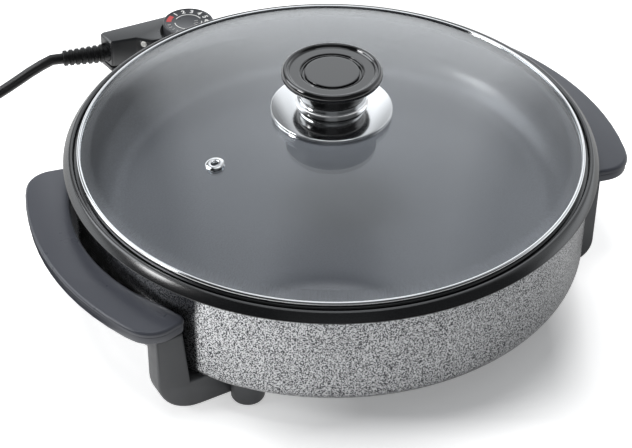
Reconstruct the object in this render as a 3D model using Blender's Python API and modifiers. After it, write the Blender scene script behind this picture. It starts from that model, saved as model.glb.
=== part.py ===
"""Electric skillet: a non-stick pan in a hammered casing, two bow handles with legs, a lift-off
glass lid with a turned knob, and a plug-in temperature controller with its cord.

The skillet stands on z = 0 with its handles along X and its controller at +Y. The pan's axis is
set off from the origin so that the origin is the middle of the footprint, the cord left out.
"""
import math

import bmesh
import bpy
from mathutils import Matrix, Vector

MM = 0.001

# Fits and facets
GAP = 0.3 * MM
OVERRUN = 3.0 * MM
WELD = 0.001 * MM
PAN_STEPS = 44
LID_STEPS = 44
KNOB_STEPS = 28
SMALL_STEPS = 16
SCREW_STEPS = 8
ROUND_ANGLE = math.radians(35)
HALF_TURN = 180

# Driving radius: the lid's band. The pan, the casing and all that stands on it follow it
LID_R = 150.0 * MM

# Casing: the outer hammered shell and the sheet that closes it below
CASING_OUTSET = 3.5 * MM
CASING_WALL = 1.2 * MM
CASING_BOTTOM_Z = 19.5 * MM
CASING_CORNER_R = 8.0 * MM
CASING_FLANGE_W = 12.0 * MM
COVER_CLEARANCE = 1.0 * MM
COVER_WALL = 1.2 * MM
COVER_HEM_H = 2.2 * MM

# Pan: the cooking bowl with its lid ledge, rolled lip and skirt
LIP_TOP_Z = 87.0 * MM
PAN_WALL = 2.0 * MM
PAN_DEPTH = 37.5 * MM
PAN_LEAN_W = 2.0 * MM
PAN_COVE_R = 22.0 * MM
COVE_END_DEGREES = -12
LEDGE_SEAT_W = 3.0 * MM
LEDGE_DROP = 2.4 * MM
LEDGE_CLEARANCE = 2.6 * MM
LIP_STEP_W = 1.0 * MM
LIP_W = 4.6 * MM
LIP_ROUND = 0.9 * MM
SKIRT_H = 5.6 * MM
SKIRT_WALL = 1.6 * MM

# Heater: spreader plate, element, studs and the well of the probe
PLATE_INSET = 23.0 * MM
PLATE_T = 3.0 * MM
ELEMENT_R = 3.6 * MM
ELEMENT_INSET = 15.0 * MM
ELEMENT_BEND_R = 14.0 * MM
ELEMENT_END_OUT = -25.5 * MM
PIN_SPACING = 19.0 * MM
PIN_R = 2.3 * MM
PIN_TIP_OUT = 14.5 * MM
STUD_R = 2.0 * MM
STUD_TIP = 3.0 * MM
NUT_R = 4.2 * MM
NUT_H = 3.0 * MM
WELL_R = 5.2 * MM
WELL_BORE_R = 4.2 * MM
WELL_MOUTH_OUT = -2.0 * MM
WELL_END_T = 1.5 * MM

# Terminal block and the socket guard on the casing's back
BLOCK_FLANGE_W = 40.0 * MM
BLOCK_FLANGE_H = 20.0 * MM
BLOCK_NECK_W = 32.0 * MM
BLOCK_NECK_H = 15.0 * MM
BLOCK_BACK_OUT = -12.5 * MM
BLOCK_STEP_OUT = -2.9 * MM
BLOCK_FACE_OUT = -0.9 * MM
GUARD_WALL_W = 4.5 * MM
GUARD_WALL_H = 4.2 * MM
GUARD_BACK_OUT = -6.5 * MM
GUARD_FACE_OUT = 9.5 * MM
GUARD_ROUND = 2.0 * MM
EAR_REACH_W = 7.0 * MM
EAR_H = 15.0 * MM
EAR_FACE_OUT = 2.0 * MM
EAR_SCREW_STEP = 3.5 * MM
NOSE_W = 41.0 * MM
NOSE_H = 18.6 * MM
NOSE_TIP_OUT = 1.9 * MM

# Handles: a bow-shaped plate on a frame, carried by two legs on each side
TIP_OUT = 28.8 * MM
BOW_OUTER_R = 174.0 * MM
BOW_INNER_OUT = 5.3 * MM
BOW_INNER_R = 121.7 * MM
BOW_CORNER_OUT = 6.5 * MM
BOW_CORNER_Y = 84.8 * MM
BOW_CORNER_R = 17.0 * MM
BOW_END_OUT = 3.0 * MM
BOW_END_Y = 79.2 * MM
BOW_END_R = 5.0 * MM
BOW_REACH_SHARES = (-0.80, -0.53, -0.27, 0.0, 0.27, 0.53, 0.80)
HANDLE_TOP_Z = 66.0 * MM
PLATE_TOP_T = 3.0 * MM
PLATE_EDGE_R = 1.0 * MM
FRAME_T = 5.4 * MM
FRAME_INSET = 0.5 * MM
FRAME_POCKET_DEPTH = 3.2 * MM
FRAME_POCKET_RIM = 3.0 * MM

# Legs: a flat post with a round outer corner, a runner below the casing and a round boss.
# Each handle has one leg that stands out from the casing and one that lies close against it.
LEG_OUT_REACH = 16.7 * MM
LEG_IN_TOP_REACH = 0.5 * MM
LEG_IN_LOW_REACH = -2.9 * MM
LEG_CORNER_R = 25.0 * MM
CLOSE_LEG_OUT_REACH = 3.7 * MM
CLOSE_LEG_IN_REACH = -14.3 * MM
CLOSE_LEG_CORNER_R = 12.0 * MM
LEG_FACE_Y = 80.2 * MM
LEG_T = 13.6 * MM
LEG_EDGE_R = 1.2 * MM
RUNNER_TOP_Z = 20.4 * MM
RUNNER_END_REACH = -37.3 * MM
SHOE_Z = 0.5 * MM
BLOCK_OUT_REACH = 7.7 * MM
BLOCK_IN_REACH = -6.3 * MM
BLOCK_IN_Y = 58.0 * MM
BLOCK_LOW_Z = 44.0 * MM
SPIGOT_REACH = 8.7 * MM
CLOSE_SPIGOT_REACH = 0.9 * MM
SPIGOT_Y = 75.0 * MM
SPIGOT_R = 1.6 * MM
SPIGOT_H = 2.4 * MM
BOSS_INSET = 2.0 * MM
BOSS_Y = 86.0 * MM
BOSS_R = 9.7 * MM
PAD_R = 8.4 * MM
PAD_RECESS = 1.4 * MM

# Screws: each has a round head and a plain shank
SCREW_HEAD_R = 3.4 * MM
SCREW_HEAD_H = 2.2 * MM
SCREW_SHANK_R = 1.7 * MM
WALL_SCREW_Z = 51.0 * MM
WALL_SCREW_L = 6.5 * MM
EAR_SCREW_L = 7.5 * MM

# Lid: a domed glass in a steel band, with a vent
BAND_W = 3.2 * MM
BAND_H = 4.6 * MM
BAND_LIP = 0.7 * MM
GLASS_T = 3.4 * MM
GLASS_BITE = 1.6 * MM
DOME_RISE = 21.0 * MM
DOME_POINTS = 5
GLASS_HOLE_R = 3.4 * MM
VENT_RADIUS = 80.9 * MM
VENT_AZIMUTH = math.radians(185.2)
VENT_FLANGE_R = 5.5 * MM
VENT_FLANGE_T = 0.9 * MM
VENT_TUBE_R = 3.2 * MM
VENT_BORE_R = 2.1 * MM

# Knob: seat disc, collar, grip and inlaid cap on the middle of the glass
DISC_R = 35.6 * MM
DISC_EDGE_H = 3.5 * MM
DISC_CONE_H = 3.2 * MM
DISC_RIM_W = 3.0 * MM
DISC_ROUND = 0.6 * MM
COLLAR_R = 19.4 * MM
COLLAR_TOP_R = 20.2 * MM
COLLAR_H = 4.0 * MM
GRIP_FOOT_R = 19.8 * MM
GRIP_NECK_R = 22.0 * MM
GRIP_NECK_H = 10.0 * MM
GRIP_R = 29.4 * MM
GRIP_CAP_H = 7.6 * MM
GRIP_RIM_R = 25.0 * MM
GRIP_RIM_H = 1.4 * MM
GRIP_GROOVE_R = 18.7 * MM
GRIP_GROOVE_H = 1.6 * MM
INLAY_R = 16.0 * MM
KNOB_SCREW_R = 2.2 * MM
KNOB_SCREW_HOLE_R = 2.6 * MM
KNOB_SCREW_BITE = 7.0 * MM
KNOB_SCREW_HEAD_R = 5.0 * MM
KNOB_SCREW_HEAD_H = 2.6 * MM
TOP_WASHER_R = 14.0 * MM
LOW_WASHER_R = 11.0 * MM
CUP_WASHER_R = 8.5 * MM
WASHER_T = 0.8 * MM

# Controller: an arm with the cord, and a round head with the dial over the plug
DIAL_X = -7.6 * MM
DIAL_OUT = 21.0 * MM
DIAL_R = 16.6 * MM
DIAL_H = 13.0 * MM
DIAL_TOP_Z = 77.0 * MM
DIAL_ROUND = 1.0 * MM
DIAL_FACE_DROP = 0.5 * MM
DIAL_RIM_W = 1.6 * MM
DIAL_SKIRT_WALL = 2.2 * MM
DIAL_SOCKET_R = 3.3 * MM
DIAL_HUB_R = 5.5 * MM
DIAL_RECESS_R = 18.9 * MM
HEAD_R = 23.5 * MM
HEAD_DECK_OUT = 3.5 * MM
HEAD_BACK_OUT = 26.5 * MM
HEAD_W = 40.0 * MM
HEAD_BOTTOM_Z = 25.6 * MM
HEAD_TOP_Z = 63.4 * MM
ARM_TOP_Z = 70.0 * MM
ARM_BOTTOM_Z = 47.0 * MM
SPLIT_Z = 50.2 * MM
ARM_END_X = -60.7 * MM
ARM_END_BACK_OUT = 47.3 * MM
ARM_END_FRONT_X = -58.9 * MM
ARM_END_FRONT_OUT = 32.4 * MM
ARM_KNEE_X = -42.0 * MM
ARM_KNEE_OUT = 28.9 * MM
ARM_SCOOP_X = -34.5 * MM
ARM_SCOOP_OUT = 20.9 * MM
ARM_ROOT_X = -25.0 * MM
ARM_ROOT_OUT = 18.5 * MM
ARM_BACK_X = -9.0 * MM
ARM_BACK_OUT = 44.3 * MM
ARM_ROUND = 2.5 * MM
ARM_EDGE_R = 1.2 * MM
HOUSING_WALL = 2.2 * MM
PIN_HOLE_R = 4.0 * MM
SOCKET_R = 3.7 * MM
SOCKET_BORE_R = 2.6 * MM
SOCKET_FACE_OUT = 3.5 * MM
PROBE_R = 3.8 * MM
PROBE_TIP_CLEARANCE = 2.7 * MM
PROBE_HOLE_R = 4.3 * MM
CARRIER_FACE_OUT = 17.5 * MM
CARRIER_DEPTH = 9.0 * MM
CARRIER_W = 30.0 * MM
CARRIER_H = 18.0 * MM
BIMETAL_L = 22.0 * MM
BIMETAL_W = 6.0 * MM
BIMETAL_T = 0.8 * MM
SPINDLE_R = 3.0 * MM
LAMP_X = -38.4 * MM
LAMP_R = 2.1 * MM
LAMP_L = 6.0 * MM
LAMP_PROUD = 0.8 * MM
LAMP_DROP = 3.6 * MM
LAMP_AZIMUTH = math.radians(43)
CONTROLLER_SCREW_X = -17.0 * MM
CONTROLLER_SCREW_OUT = 32.5 * MM
CONTROLLER_SCREW_L = 10.0 * MM

# Cord: relief, free stretch, coil, tail and plug
CORD_R = 3.6 * MM
RELIEF_X = -60.1 * MM
RELIEF_OUT = 39.9 * MM
RELIEF_Z = 58.0 * MM
RELIEF_YAW = math.radians(164.6)
RELIEF_L = 28.0 * MM
RELIEF_ROOT_L = 4.5 * MM
RELIEF_ROOT_R = 6.2 * MM
RELIEF_TIP_R = 5.2 * MM
RELIEF_RIBS = 7
RELIEF_RIB_DEPTH = 0.55 * MM
RELIEF_STEPS = 12
COIL_X = -217.0 * MM
COIL_Y = 186.0 * MM
COIL_MID_R = 38.4 * MM
COIL_PITCH = 7.9 * MM
COIL_LAYER_H = 7.9 * MM
COIL_START = math.radians(88)
COIL_TURNS_IN = 2.25
COIL_TURNS_OUT = 2.0
COIL_CLIMB_TURNS = 0.5
COIL_LOOP_STEPS = 24
CORD_POINT_STEP = 15.0 * MM
ROUTE_PARTS = 24
TAIL_LOW_SHARE = 2.5
TAIL_HIGH_SHARE = 2.5
PLUG_LEAD_L = 62.0 * MM
PLUG_W = 26.0 * MM
PLUG_BACK_W = 21.0 * MM
PLUG_NECK_W = 11.0 * MM
PLUG_H = 17.0 * MM
PLUG_L = 33.0 * MM
PLUG_TAPER_L = 11.0 * MM
PLUG_ROUND = 2.0 * MM
PLUG_EDGE_R = 2.0 * MM
BLADE_SPACING = 12.7 * MM
BLADE_W = 1.5 * MM
BLADE_H = 6.3 * MM
BLADE_L = 17.0 * MM

# Where the cord runs between the relief and the coil, in the frame of the pan's axis
CORD_ROUTE = (
    (-94.6 * MM, 203.6 * MM, 56.4 * MM),
    (-102.0 * MM, 206.6 * MM, 53.2 * MM),
    (-109.4 * MM, 209.0 * MM, 48.4 * MM),
    (-117.6 * MM, 212.6 * MM, 42.0 * MM),
    (-127.6 * MM, 217.2 * MM, 34.4 * MM),
    (-142.0 * MM, 223.4 * MM, 24.4 * MM),
    (-160.0 * MM, 229.0 * MM, 14.0 * MM),
    (-180.0 * MM, 232.2 * MM, 6.6 * MM),
    (-198.0 * MM, 232.6 * MM, 4.2 * MM),
)

# Sizes that follow from those above: an OUT value is measured outward from the casing's face,
# a REACH value from the place where a leg's inner side meets the casing
CASING_R = LID_R + CASING_OUTSET
PAN_MOUTH_R = LID_R - LEDGE_SEAT_W
PAN_FLOOR_R = PAN_MOUTH_R - PAN_LEAN_W - PAN_COVE_R
LEDGE_R = LID_R + LEDGE_CLEARANCE
LIP_INNER_R = LEDGE_R + LIP_STEP_W
LIP_R = LIP_INNER_R + LIP_W
PLATE_R = PAN_FLOOR_R - PLATE_INSET
ELEMENT_RING_R = PLATE_R - ELEMENT_INSET
ELEMENT_END_Y = CASING_R + ELEMENT_END_OUT
PIN_TIP_Y = CASING_R + PIN_TIP_OUT
WELL_END_Y = PLATE_R + GAP
WELL_MOUTH_Y = CASING_R + WELL_MOUTH_OUT
PROBE_TIP_Y = WELL_END_Y + WELL_END_T + PROBE_TIP_CLEARANCE
BLOCK_BACK_Y = CASING_R + BLOCK_BACK_OUT
BLOCK_STEP_Y = CASING_R + BLOCK_STEP_OUT
BLOCK_FACE_Y = CASING_R + BLOCK_FACE_OUT
GUARD_BACK_Y = CASING_R + GUARD_BACK_OUT
GUARD_FACE_Y = CASING_R + GUARD_FACE_OUT
EAR_FACE_Y = CASING_R + EAR_FACE_OUT
NOSE_TIP_Y = CASING_R + NOSE_TIP_OUT
GUARD_W = NOSE_W + 2 * GUARD_WALL_W
GUARD_H = NOSE_H + 2 * GUARD_WALL_H
EAR_W = GUARD_W + 2 * EAR_REACH_W
EAR_SCREW_X = GUARD_W / 2 + EAR_SCREW_STEP
TIP_X = CASING_R + TIP_OUT
BOW_INNER_X = CASING_R + BOW_INNER_OUT
BOW_CORNER_X = CASING_R + BOW_CORNER_OUT
BOW_END_X = math.sqrt(CASING_R ** 2 - BOW_END_Y ** 2) + BOW_END_OUT
LEG_BACK_Y = LEG_FACE_Y - LEG_T
LEG_ROOT_X = math.sqrt(CASING_R ** 2 - LEG_BACK_Y ** 2)
LEG_OUT_X = LEG_ROOT_X + LEG_OUT_REACH
LEG_IN_TOP_X = LEG_ROOT_X + LEG_IN_TOP_REACH
LEG_IN_LOW_X = LEG_ROOT_X + LEG_IN_LOW_REACH
CLOSE_LEG_OUT_X = LEG_ROOT_X + CLOSE_LEG_OUT_REACH
CLOSE_LEG_IN_X = LEG_ROOT_X + CLOSE_LEG_IN_REACH
RUNNER_END_X = LEG_ROOT_X + RUNNER_END_REACH
BLOCK_OUT_X = LEG_ROOT_X + BLOCK_OUT_REACH
BLOCK_IN_X = LEG_ROOT_X + BLOCK_IN_REACH
SPIGOT_X = LEG_ROOT_X + SPIGOT_REACH
CLOSE_SPIGOT_X = LEG_ROOT_X + CLOSE_SPIGOT_REACH
BOSS_X = RUNNER_END_X + BOSS_INSET
COVER_R = math.hypot(RUNNER_END_X, LEG_BACK_Y) - COVER_CLEARANCE
CASING_FLANGE_R = COVER_R - CASING_FLANGE_W
BLOCK_OUT_Y = LEG_BACK_Y + OVERRUN
WALL_SCREW_Y = (BLOCK_IN_Y + BLOCK_OUT_Y) / 2
WALL_SCREW_AZIMUTH = math.asin(WALL_SCREW_Y / CASING_R)
DIAL_Y = CASING_R + DIAL_OUT
HEAD_DECK_Y = CASING_R + HEAD_DECK_OUT
HEAD_BACK_Y = CASING_R + HEAD_BACK_OUT
ARM_END_BACK_Y = CASING_R + ARM_END_BACK_OUT
ARM_END_FRONT_Y = CASING_R + ARM_END_FRONT_OUT
ARM_KNEE_Y = CASING_R + ARM_KNEE_OUT
ARM_SCOOP_Y = CASING_R + ARM_SCOOP_OUT
ARM_ROOT_Y = CASING_R + ARM_ROOT_OUT
ARM_BACK_Y = CASING_R + ARM_BACK_OUT
SOCKET_FACE_Y = CASING_R + SOCKET_FACE_OUT
CARRIER_FACE_Y = CASING_R + CARRIER_FACE_OUT
CONTROLLER_SCREW_Y = CASING_R + CONTROLLER_SCREW_OUT
RELIEF_Y = CASING_R + RELIEF_OUT
LEDGE_Z = LIP_TOP_Z - LEDGE_DROP
PAN_FLOOR_Z = LIP_TOP_Z - PAN_DEPTH
SPREADER_TOP_Z = PAN_FLOOR_Z - PAN_WALL - GAP
SPREADER_LOW_Z = SPREADER_TOP_Z - PLATE_T
PLUG_Z = SPREADER_LOW_Z - GAP - ELEMENT_R
CASING_TOP_Z = LEDGE_Z - PAN_WALL - GAP
COVER_TOP_Z = CASING_BOTTOM_Z - GAP
COVER_LOW_Z = COVER_TOP_Z - COVER_WALL
FRAME_TOP_Z = HANDLE_TOP_Z - PLATE_TOP_T - GAP
FRAME_LOW_Z = FRAME_TOP_Z - FRAME_T
LEG_TOP_Z = FRAME_LOW_Z - GAP
BOSS_TOP_Z = CASING_BOTTOM_Z - GAP
BAND_LOW_Z = LEDGE_Z + GAP
BAND_TOP_Z = BAND_LOW_Z + BAND_H
GLASS_LOW_Z = BAND_LOW_Z + BAND_H / 2 - GLASS_T / 2
GLASS_RIM_Z = GLASS_LOW_Z + GLASS_T
GLASS_RIM_R = LID_R - BAND_W + GLASS_BITE
DOME_BASE_R = LID_R - BAND_W - GAP
DOME_R = (DOME_BASE_R ** 2 + DOME_RISE ** 2) / (2 * DOME_RISE)
DOME_TOP_Z = GLASS_RIM_Z + DOME_RISE
DISC_LOW_Z = DOME_TOP_Z - DOME_R + math.sqrt(DOME_R ** 2 - DISC_R ** 2) + GAP
DISC_EDGE_Z = DISC_LOW_Z + DISC_EDGE_H
DISC_TOP_Z = DISC_EDGE_Z + DISC_CONE_H
COLLAR_LOW_Z = DISC_TOP_Z + GAP
GRIP_LOW_Z = COLLAR_LOW_Z + COLLAR_H + GAP
GRIP_CAP_Z = GRIP_LOW_Z + GRIP_NECK_H
GRIP_TOP_Z = GRIP_CAP_Z + GRIP_CAP_H
GRIP_LAND_Z = GRIP_TOP_Z - GRIP_RIM_H
GRIP_GROOVE_Z = GRIP_LAND_Z - GRIP_GROOVE_H
DIAL_LOW_Z = DIAL_TOP_Z - DIAL_H
COIL_INNER_R = COIL_MID_R - COIL_PITCH * (COIL_TURNS_IN + COIL_TURNS_OUT) / 4
COIL_LOW_Z = CORD_R + GAP
PAN_AXIS_Y = (LIP_R - ARM_END_BACK_Y) / 2


def linear(value):
    """Turns one sRGB channel, 0 to 1, into linear light."""
    if value <= 0.04045:
        return value / 12.92
    return ((value + 0.055) / 1.055) ** 2.4


def material(name, code, roughness, metallic=0.0, transmission=0.0):
    """Makes a Principled material from an sRGB colour code such as 8A8C90."""
    made = bpy.data.materials.new(name)
    made.use_nodes = True
    shader = made.node_tree.nodes["Principled BSDF"]
    channels = [linear(int(code[at:at + 2], 16) / 255) for at in (0, 2, 4)]
    shader.inputs["Base Color"].default_value = (*channels, 1.0)
    shader.inputs["Roughness"].default_value = roughness
    shader.inputs["Metallic"].default_value = metallic
    shader.inputs["Transmission Weight"].default_value = transmission
    made.diffuse_color = (*channels, 1.0)
    return made


def clear_scene():
    """Empties the file of its starting objects."""
    for thing in list(bpy.data.objects):
        bpy.data.objects.remove(thing, do_unlink=True)


def collection(name):
    made = bpy.data.collections.new(name)
    bpy.context.scene.collection.children.link(made)
    return made


class Bench:
    """Holds the collections, the materials and the empties that the pieces hang on."""

    def __init__(self):
        self.parts = collection("electric_skillet")
        self.cutters = collection("cutters")
        self.paints = {}
        self.axes = {}


bench = None


def add_object(name, data, paint=None, axis="pan_axis", place=(0, 0, 0)):
    """Puts data in the scene as a part, or as a cutter where it has no paint.

    Its place is in the frame of the pan's axis, whichever empty carries it.
    """
    made = bpy.data.objects.new(name, data)
    if paint is None:
        bench.cutters.objects.link(made)
        made.hide_render = True
        made.display_type = "WIRE"
    else:
        bench.parts.objects.link(made)
        data.materials.clear()
        data.materials.append(bench.paints[paint])
    made.parent = bench.axes[axis]
    made.matrix_parent_inverse = (bench.axes[axis].matrix_world.inverted()
                                  @ bench.axes["pan_axis"].matrix_world)
    made.location = place
    return made


def add_axis(name, place, parent=None):
    """Makes an empty at a place in the pan's frame, or in the world where it has no parent."""
    made = bpy.data.objects.new(name, None)
    bench.parts.objects.link(made)
    made.location = place
    if parent is not None:
        made.parent = bench.axes[parent]
    bpy.context.view_layer.update()
    bench.axes[name] = made
    return made


def evaluated_mesh(thing):
    """Gives a new mesh of the object as its modifiers or its curve make it."""
    bpy.context.view_layer.update()
    graph = bpy.context.evaluated_depsgraph_get()
    return bpy.data.meshes.new_from_object(thing.evaluated_get(graph))


def smooth(thing):
    """Shades round faces smooth and keeps the sharp edges."""
    thing.data.shade_smooth()
    thing.data.set_sharp_from_angle(angle=ROUND_ANGLE)


def arc(center_x, center_z, radius, start, end, count):
    """Points on an arc, both ends counted, with angles in degrees."""
    points = []
    for step in range(count):
        angle = math.radians(start + (end - start) * step / (count - 1))
        points.append((center_x + radius * math.cos(angle), center_z + radius * math.sin(angle)))
    return points


def turned(name, profile, steps, paint=None, axis="pan_axis", place=(0, 0, 0), closed=None):
    """Turns a profile of (radius, height) points about Z with a Screw modifier."""
    if closed is None:
        closed = profile[0][0] > 0
    mesh = bpy.data.meshes.new(name)
    edges = [(at, at + 1) for at in range(len(profile) - 1)]
    if closed:
        edges.append((len(profile) - 1, 0))
    mesh.from_pydata([(radius, 0, height) for radius, height in profile], edges, [])
    made = add_object(name, mesh, paint, axis, place)
    screw = made.modifiers.new("turn", "SCREW")
    screw.axis = "Z"
    screw.steps = steps
    screw.render_steps = steps
    screw.use_merge_vertices = True
    screw.merge_threshold = WELD
    return made


def prism(name, outline, low, high, paint=None, axis="pan_axis", matrix=None):
    """Extrudes a flat outline of (x, y) points from one height to another."""
    curve = bpy.data.curves.new(name, "CURVE")
    curve.dimensions = "2D"
    curve.fill_mode = "BOTH"
    curve.extrude = (high - low) / 2
    spline = curve.splines.new("POLY")
    spline.points.add(len(outline) - 1)
    for point, (x, y) in zip(spline.points, outline):
        point.co = (x, y, 0, 1)
    spline.use_cyclic_u = True
    guide = add_object(name + "_outline", curve)
    mesh = evaluated_mesh(guide)
    bpy.data.objects.remove(guide)
    shape = bmesh.new()
    shape.from_mesh(mesh)
    bmesh.ops.remove_doubles(shape, verts=shape.verts, dist=WELD)
    bmesh.ops.dissolve_limit(shape, angle_limit=math.radians(1), verts=shape.verts, edges=shape.edges)
    bmesh.ops.translate(shape, verts=shape.verts, vec=(0, 0, (low + high) / 2))
    if matrix is not None:
        bmesh.ops.transform(shape, verts=shape.verts, matrix=matrix)
    bmesh.ops.recalc_face_normals(shape, faces=shape.faces)
    shape.to_mesh(mesh)
    shape.free()
    return add_object(name, mesh, paint, axis)


def box(name, low, high, paint=None, axis="pan_axis"):
    """Makes a box between two opposite corners."""
    mesh = bpy.data.meshes.new(name)
    shape = bmesh.new()
    bmesh.ops.create_cube(shape, size=1)
    size = [abs(second - first) for first, second in zip(low, high)]
    bmesh.ops.scale(shape, verts=shape.verts, vec=size)
    bmesh.ops.translate(shape, verts=shape.verts, vec=(Vector(low) + Vector(high)) / 2)
    shape.to_mesh(mesh)
    shape.free()
    return add_object(name, mesh, paint, axis)


def rod(name, start, end, radius, steps=SMALL_STEPS, paint=None, axis="pan_axis"):
    """Makes a cylinder from one point to another."""
    start = Vector(start)
    end = Vector(end)
    mesh = bpy.data.meshes.new(name)
    shape = bmesh.new()
    bmesh.ops.create_cone(shape, cap_ends=True, segments=steps, radius1=radius, radius2=radius,
                          depth=(end - start).length)
    turn = Vector((0, 0, 1)).rotation_difference(end - start).to_matrix().to_4x4()
    bmesh.ops.transform(shape, verts=shape.verts, matrix=Matrix.Translation((start + end) / 2) @ turn)
    shape.to_mesh(mesh)
    shape.free()
    made = add_object(name, mesh, paint, axis)
    smooth(made)
    return made


def combine(target, other, operation):
    """Adds an EXACT Boolean modifier; the other object is a cutter or a lump to join."""
    step = target.modifiers.new(operation.lower(), "BOOLEAN")
    step.operation = operation
    step.solver = "EXACT"
    step.object = other
    return step


def cut(target, *others):
    for other in others:
        combine(target, other, "DIFFERENCE")


def join(target, *others):
    for other in others:
        combine(target, other, "UNION")


def bevel(target, width, segments=2, angle=math.radians(50)):
    step = target.modifiers.new("edge", "BEVEL")
    step.width = width
    step.segments = segments
    step.limit_method = "ANGLE"
    step.angle_limit = angle
    return step


def bake(thing):
    """Applies an object's modifiers, so that copies and later cutters can use its mesh."""
    mesh = evaluated_mesh(thing)
    thing.modifiers.clear()
    thing.data = mesh
    return thing


def placed(name, mesh, matrix, paint, axis="pan_axis"):
    """Puts a mesh, which several pieces may share, at a place of its own."""
    thing = add_object(name, mesh, paint, axis)
    thing.matrix_basis = matrix
    smooth(thing)
    return thing


def blank_mesh(name, profile, steps):
    """The mesh of a turned piece that is made once and placed several times."""
    thing = turned(name, profile, steps)
    mesh = evaluated_mesh(thing)
    bpy.data.objects.remove(thing)
    return mesh


def rounded(corners, steps=3):
    """Rounds the corners of an outline; each corner is (x, y, radius)."""
    points = []
    count = len(corners)
    for at, (x, y, radius) in enumerate(corners):
        if radius == 0:
            points.append((x, y))
            continue
        here = Vector((x, y))
        back = (Vector(corners[at - 1][:2]) - here).normalized()
        ahead = (Vector(corners[(at + 1) % count][:2]) - here).normalized()
        half = back.angle(ahead) / 2
        center = here + (back + ahead).normalized() * (radius / math.sin(half))
        start = here + back * (radius / math.tan(half)) - center
        sweep = start.angle_signed(here + ahead * (radius / math.tan(half)) - center)
        for step in range(steps + 1):
            turn = Matrix.Rotation(-sweep * step / steps, 2)
            spot = center + turn @ start
            points.append((spot.x, spot.y))
    return points


def rectangle(low_x, low_y, high_x, high_y, radius=0.0):
    return rounded([(low_x, low_y, radius), (high_x, low_y, radius),
                    (high_x, high_y, radius), (low_x, high_y, radius)])


def screw_mesh(name, length, head_r=SCREW_HEAD_R, head_h=SCREW_HEAD_H, shank_r=SCREW_SHANK_R):
    """A screw along Z, its head on top of z = 0 and its shank below."""
    profile = [(0, head_h), (head_r * 0.75, head_h), (head_r, head_h * 0.55), (head_r, 0),
               (shank_r, 0), (shank_r, -length), (0, -length)]
    return blank_mesh(name, profile, SCREW_STEPS)


def aimed(place, direction):
    """A matrix that puts the origin at a place and +Z along a direction."""
    turn = Vector((0, 0, 1)).rotation_difference(Vector(direction)).to_matrix().to_4x4()
    return Matrix.Translation(place) @ turn


def quarters():
    """The signs of the four legs, with the name of each."""
    return (("front_left", -1, -1), ("front_right", 1, -1), ("rear_left", -1, 1), ("rear_right", 1, 1))


def wall_screw_place(sign_x, sign_y, radius):
    return Vector((sign_x * radius * math.cos(WALL_SCREW_AZIMUTH),
                   sign_y * radius * math.sin(WALL_SCREW_AZIMUTH), WALL_SCREW_Z))


def make_casing_clearance():
    """The casing's outline with the gap that every piece on it keeps."""
    outer = CASING_R + GAP
    low = CASING_BOTTOM_Z - GAP
    corner = CASING_CORNER_R + GAP
    profile = [(PLATE_R, LIP_TOP_Z), (outer, LIP_TOP_Z)]
    profile += arc(outer - corner, low + corner, corner, 0, -90, 4)
    profile.append((PLATE_R, low))
    return bake(turned("casing_clearance", profile, PAN_STEPS))


def make_cooking_pan():
    """The bowl: floor, cove, wall, lid ledge, lip and skirt as one turned profile."""
    cove_z = PAN_FLOOR_Z + PAN_COVE_R
    inside = [(0, PAN_FLOOR_Z)] + arc(PAN_FLOOR_R, cove_z, PAN_COVE_R, -90, COVE_END_DEGREES, 4)
    ledge = [(PAN_MOUTH_R, LEDGE_Z), (LEDGE_R, LEDGE_Z)]
    lip = [(LIP_INNER_R - LIP_ROUND / 2, LIP_TOP_Z - LIP_ROUND), (LIP_INNER_R + LIP_ROUND / 2, LIP_TOP_Z),
           (LIP_R - 2 * LIP_ROUND, LIP_TOP_Z), (LIP_R - LIP_ROUND, LIP_TOP_Z - LIP_ROUND)]
    skirt_z = LIP_TOP_Z - SKIRT_H
    skirt = [(LIP_R, skirt_z + LIP_ROUND), (LIP_R - LIP_ROUND, skirt_z), (LIP_R - SKIRT_WALL, skirt_z),
             (LIP_R - SKIRT_WALL - LIP_ROUND, LIP_TOP_Z - PAN_WALL),
             (LEDGE_R + PAN_WALL, LIP_TOP_Z - PAN_WALL),
             (LEDGE_R + PAN_WALL, LEDGE_Z - PAN_WALL), (PAN_MOUTH_R + PAN_WALL, LEDGE_Z - PAN_WALL)]
    outside = arc(PAN_FLOOR_R, cove_z, PAN_COVE_R + PAN_WALL, COVE_END_DEGREES, -90, 4)
    outside.append((0, PAN_FLOOR_Z - PAN_WALL))
    pan = turned("cooking_pan", inside + ledge + lip + skirt + outside, PAN_STEPS, "nonstick")
    return pan


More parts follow.
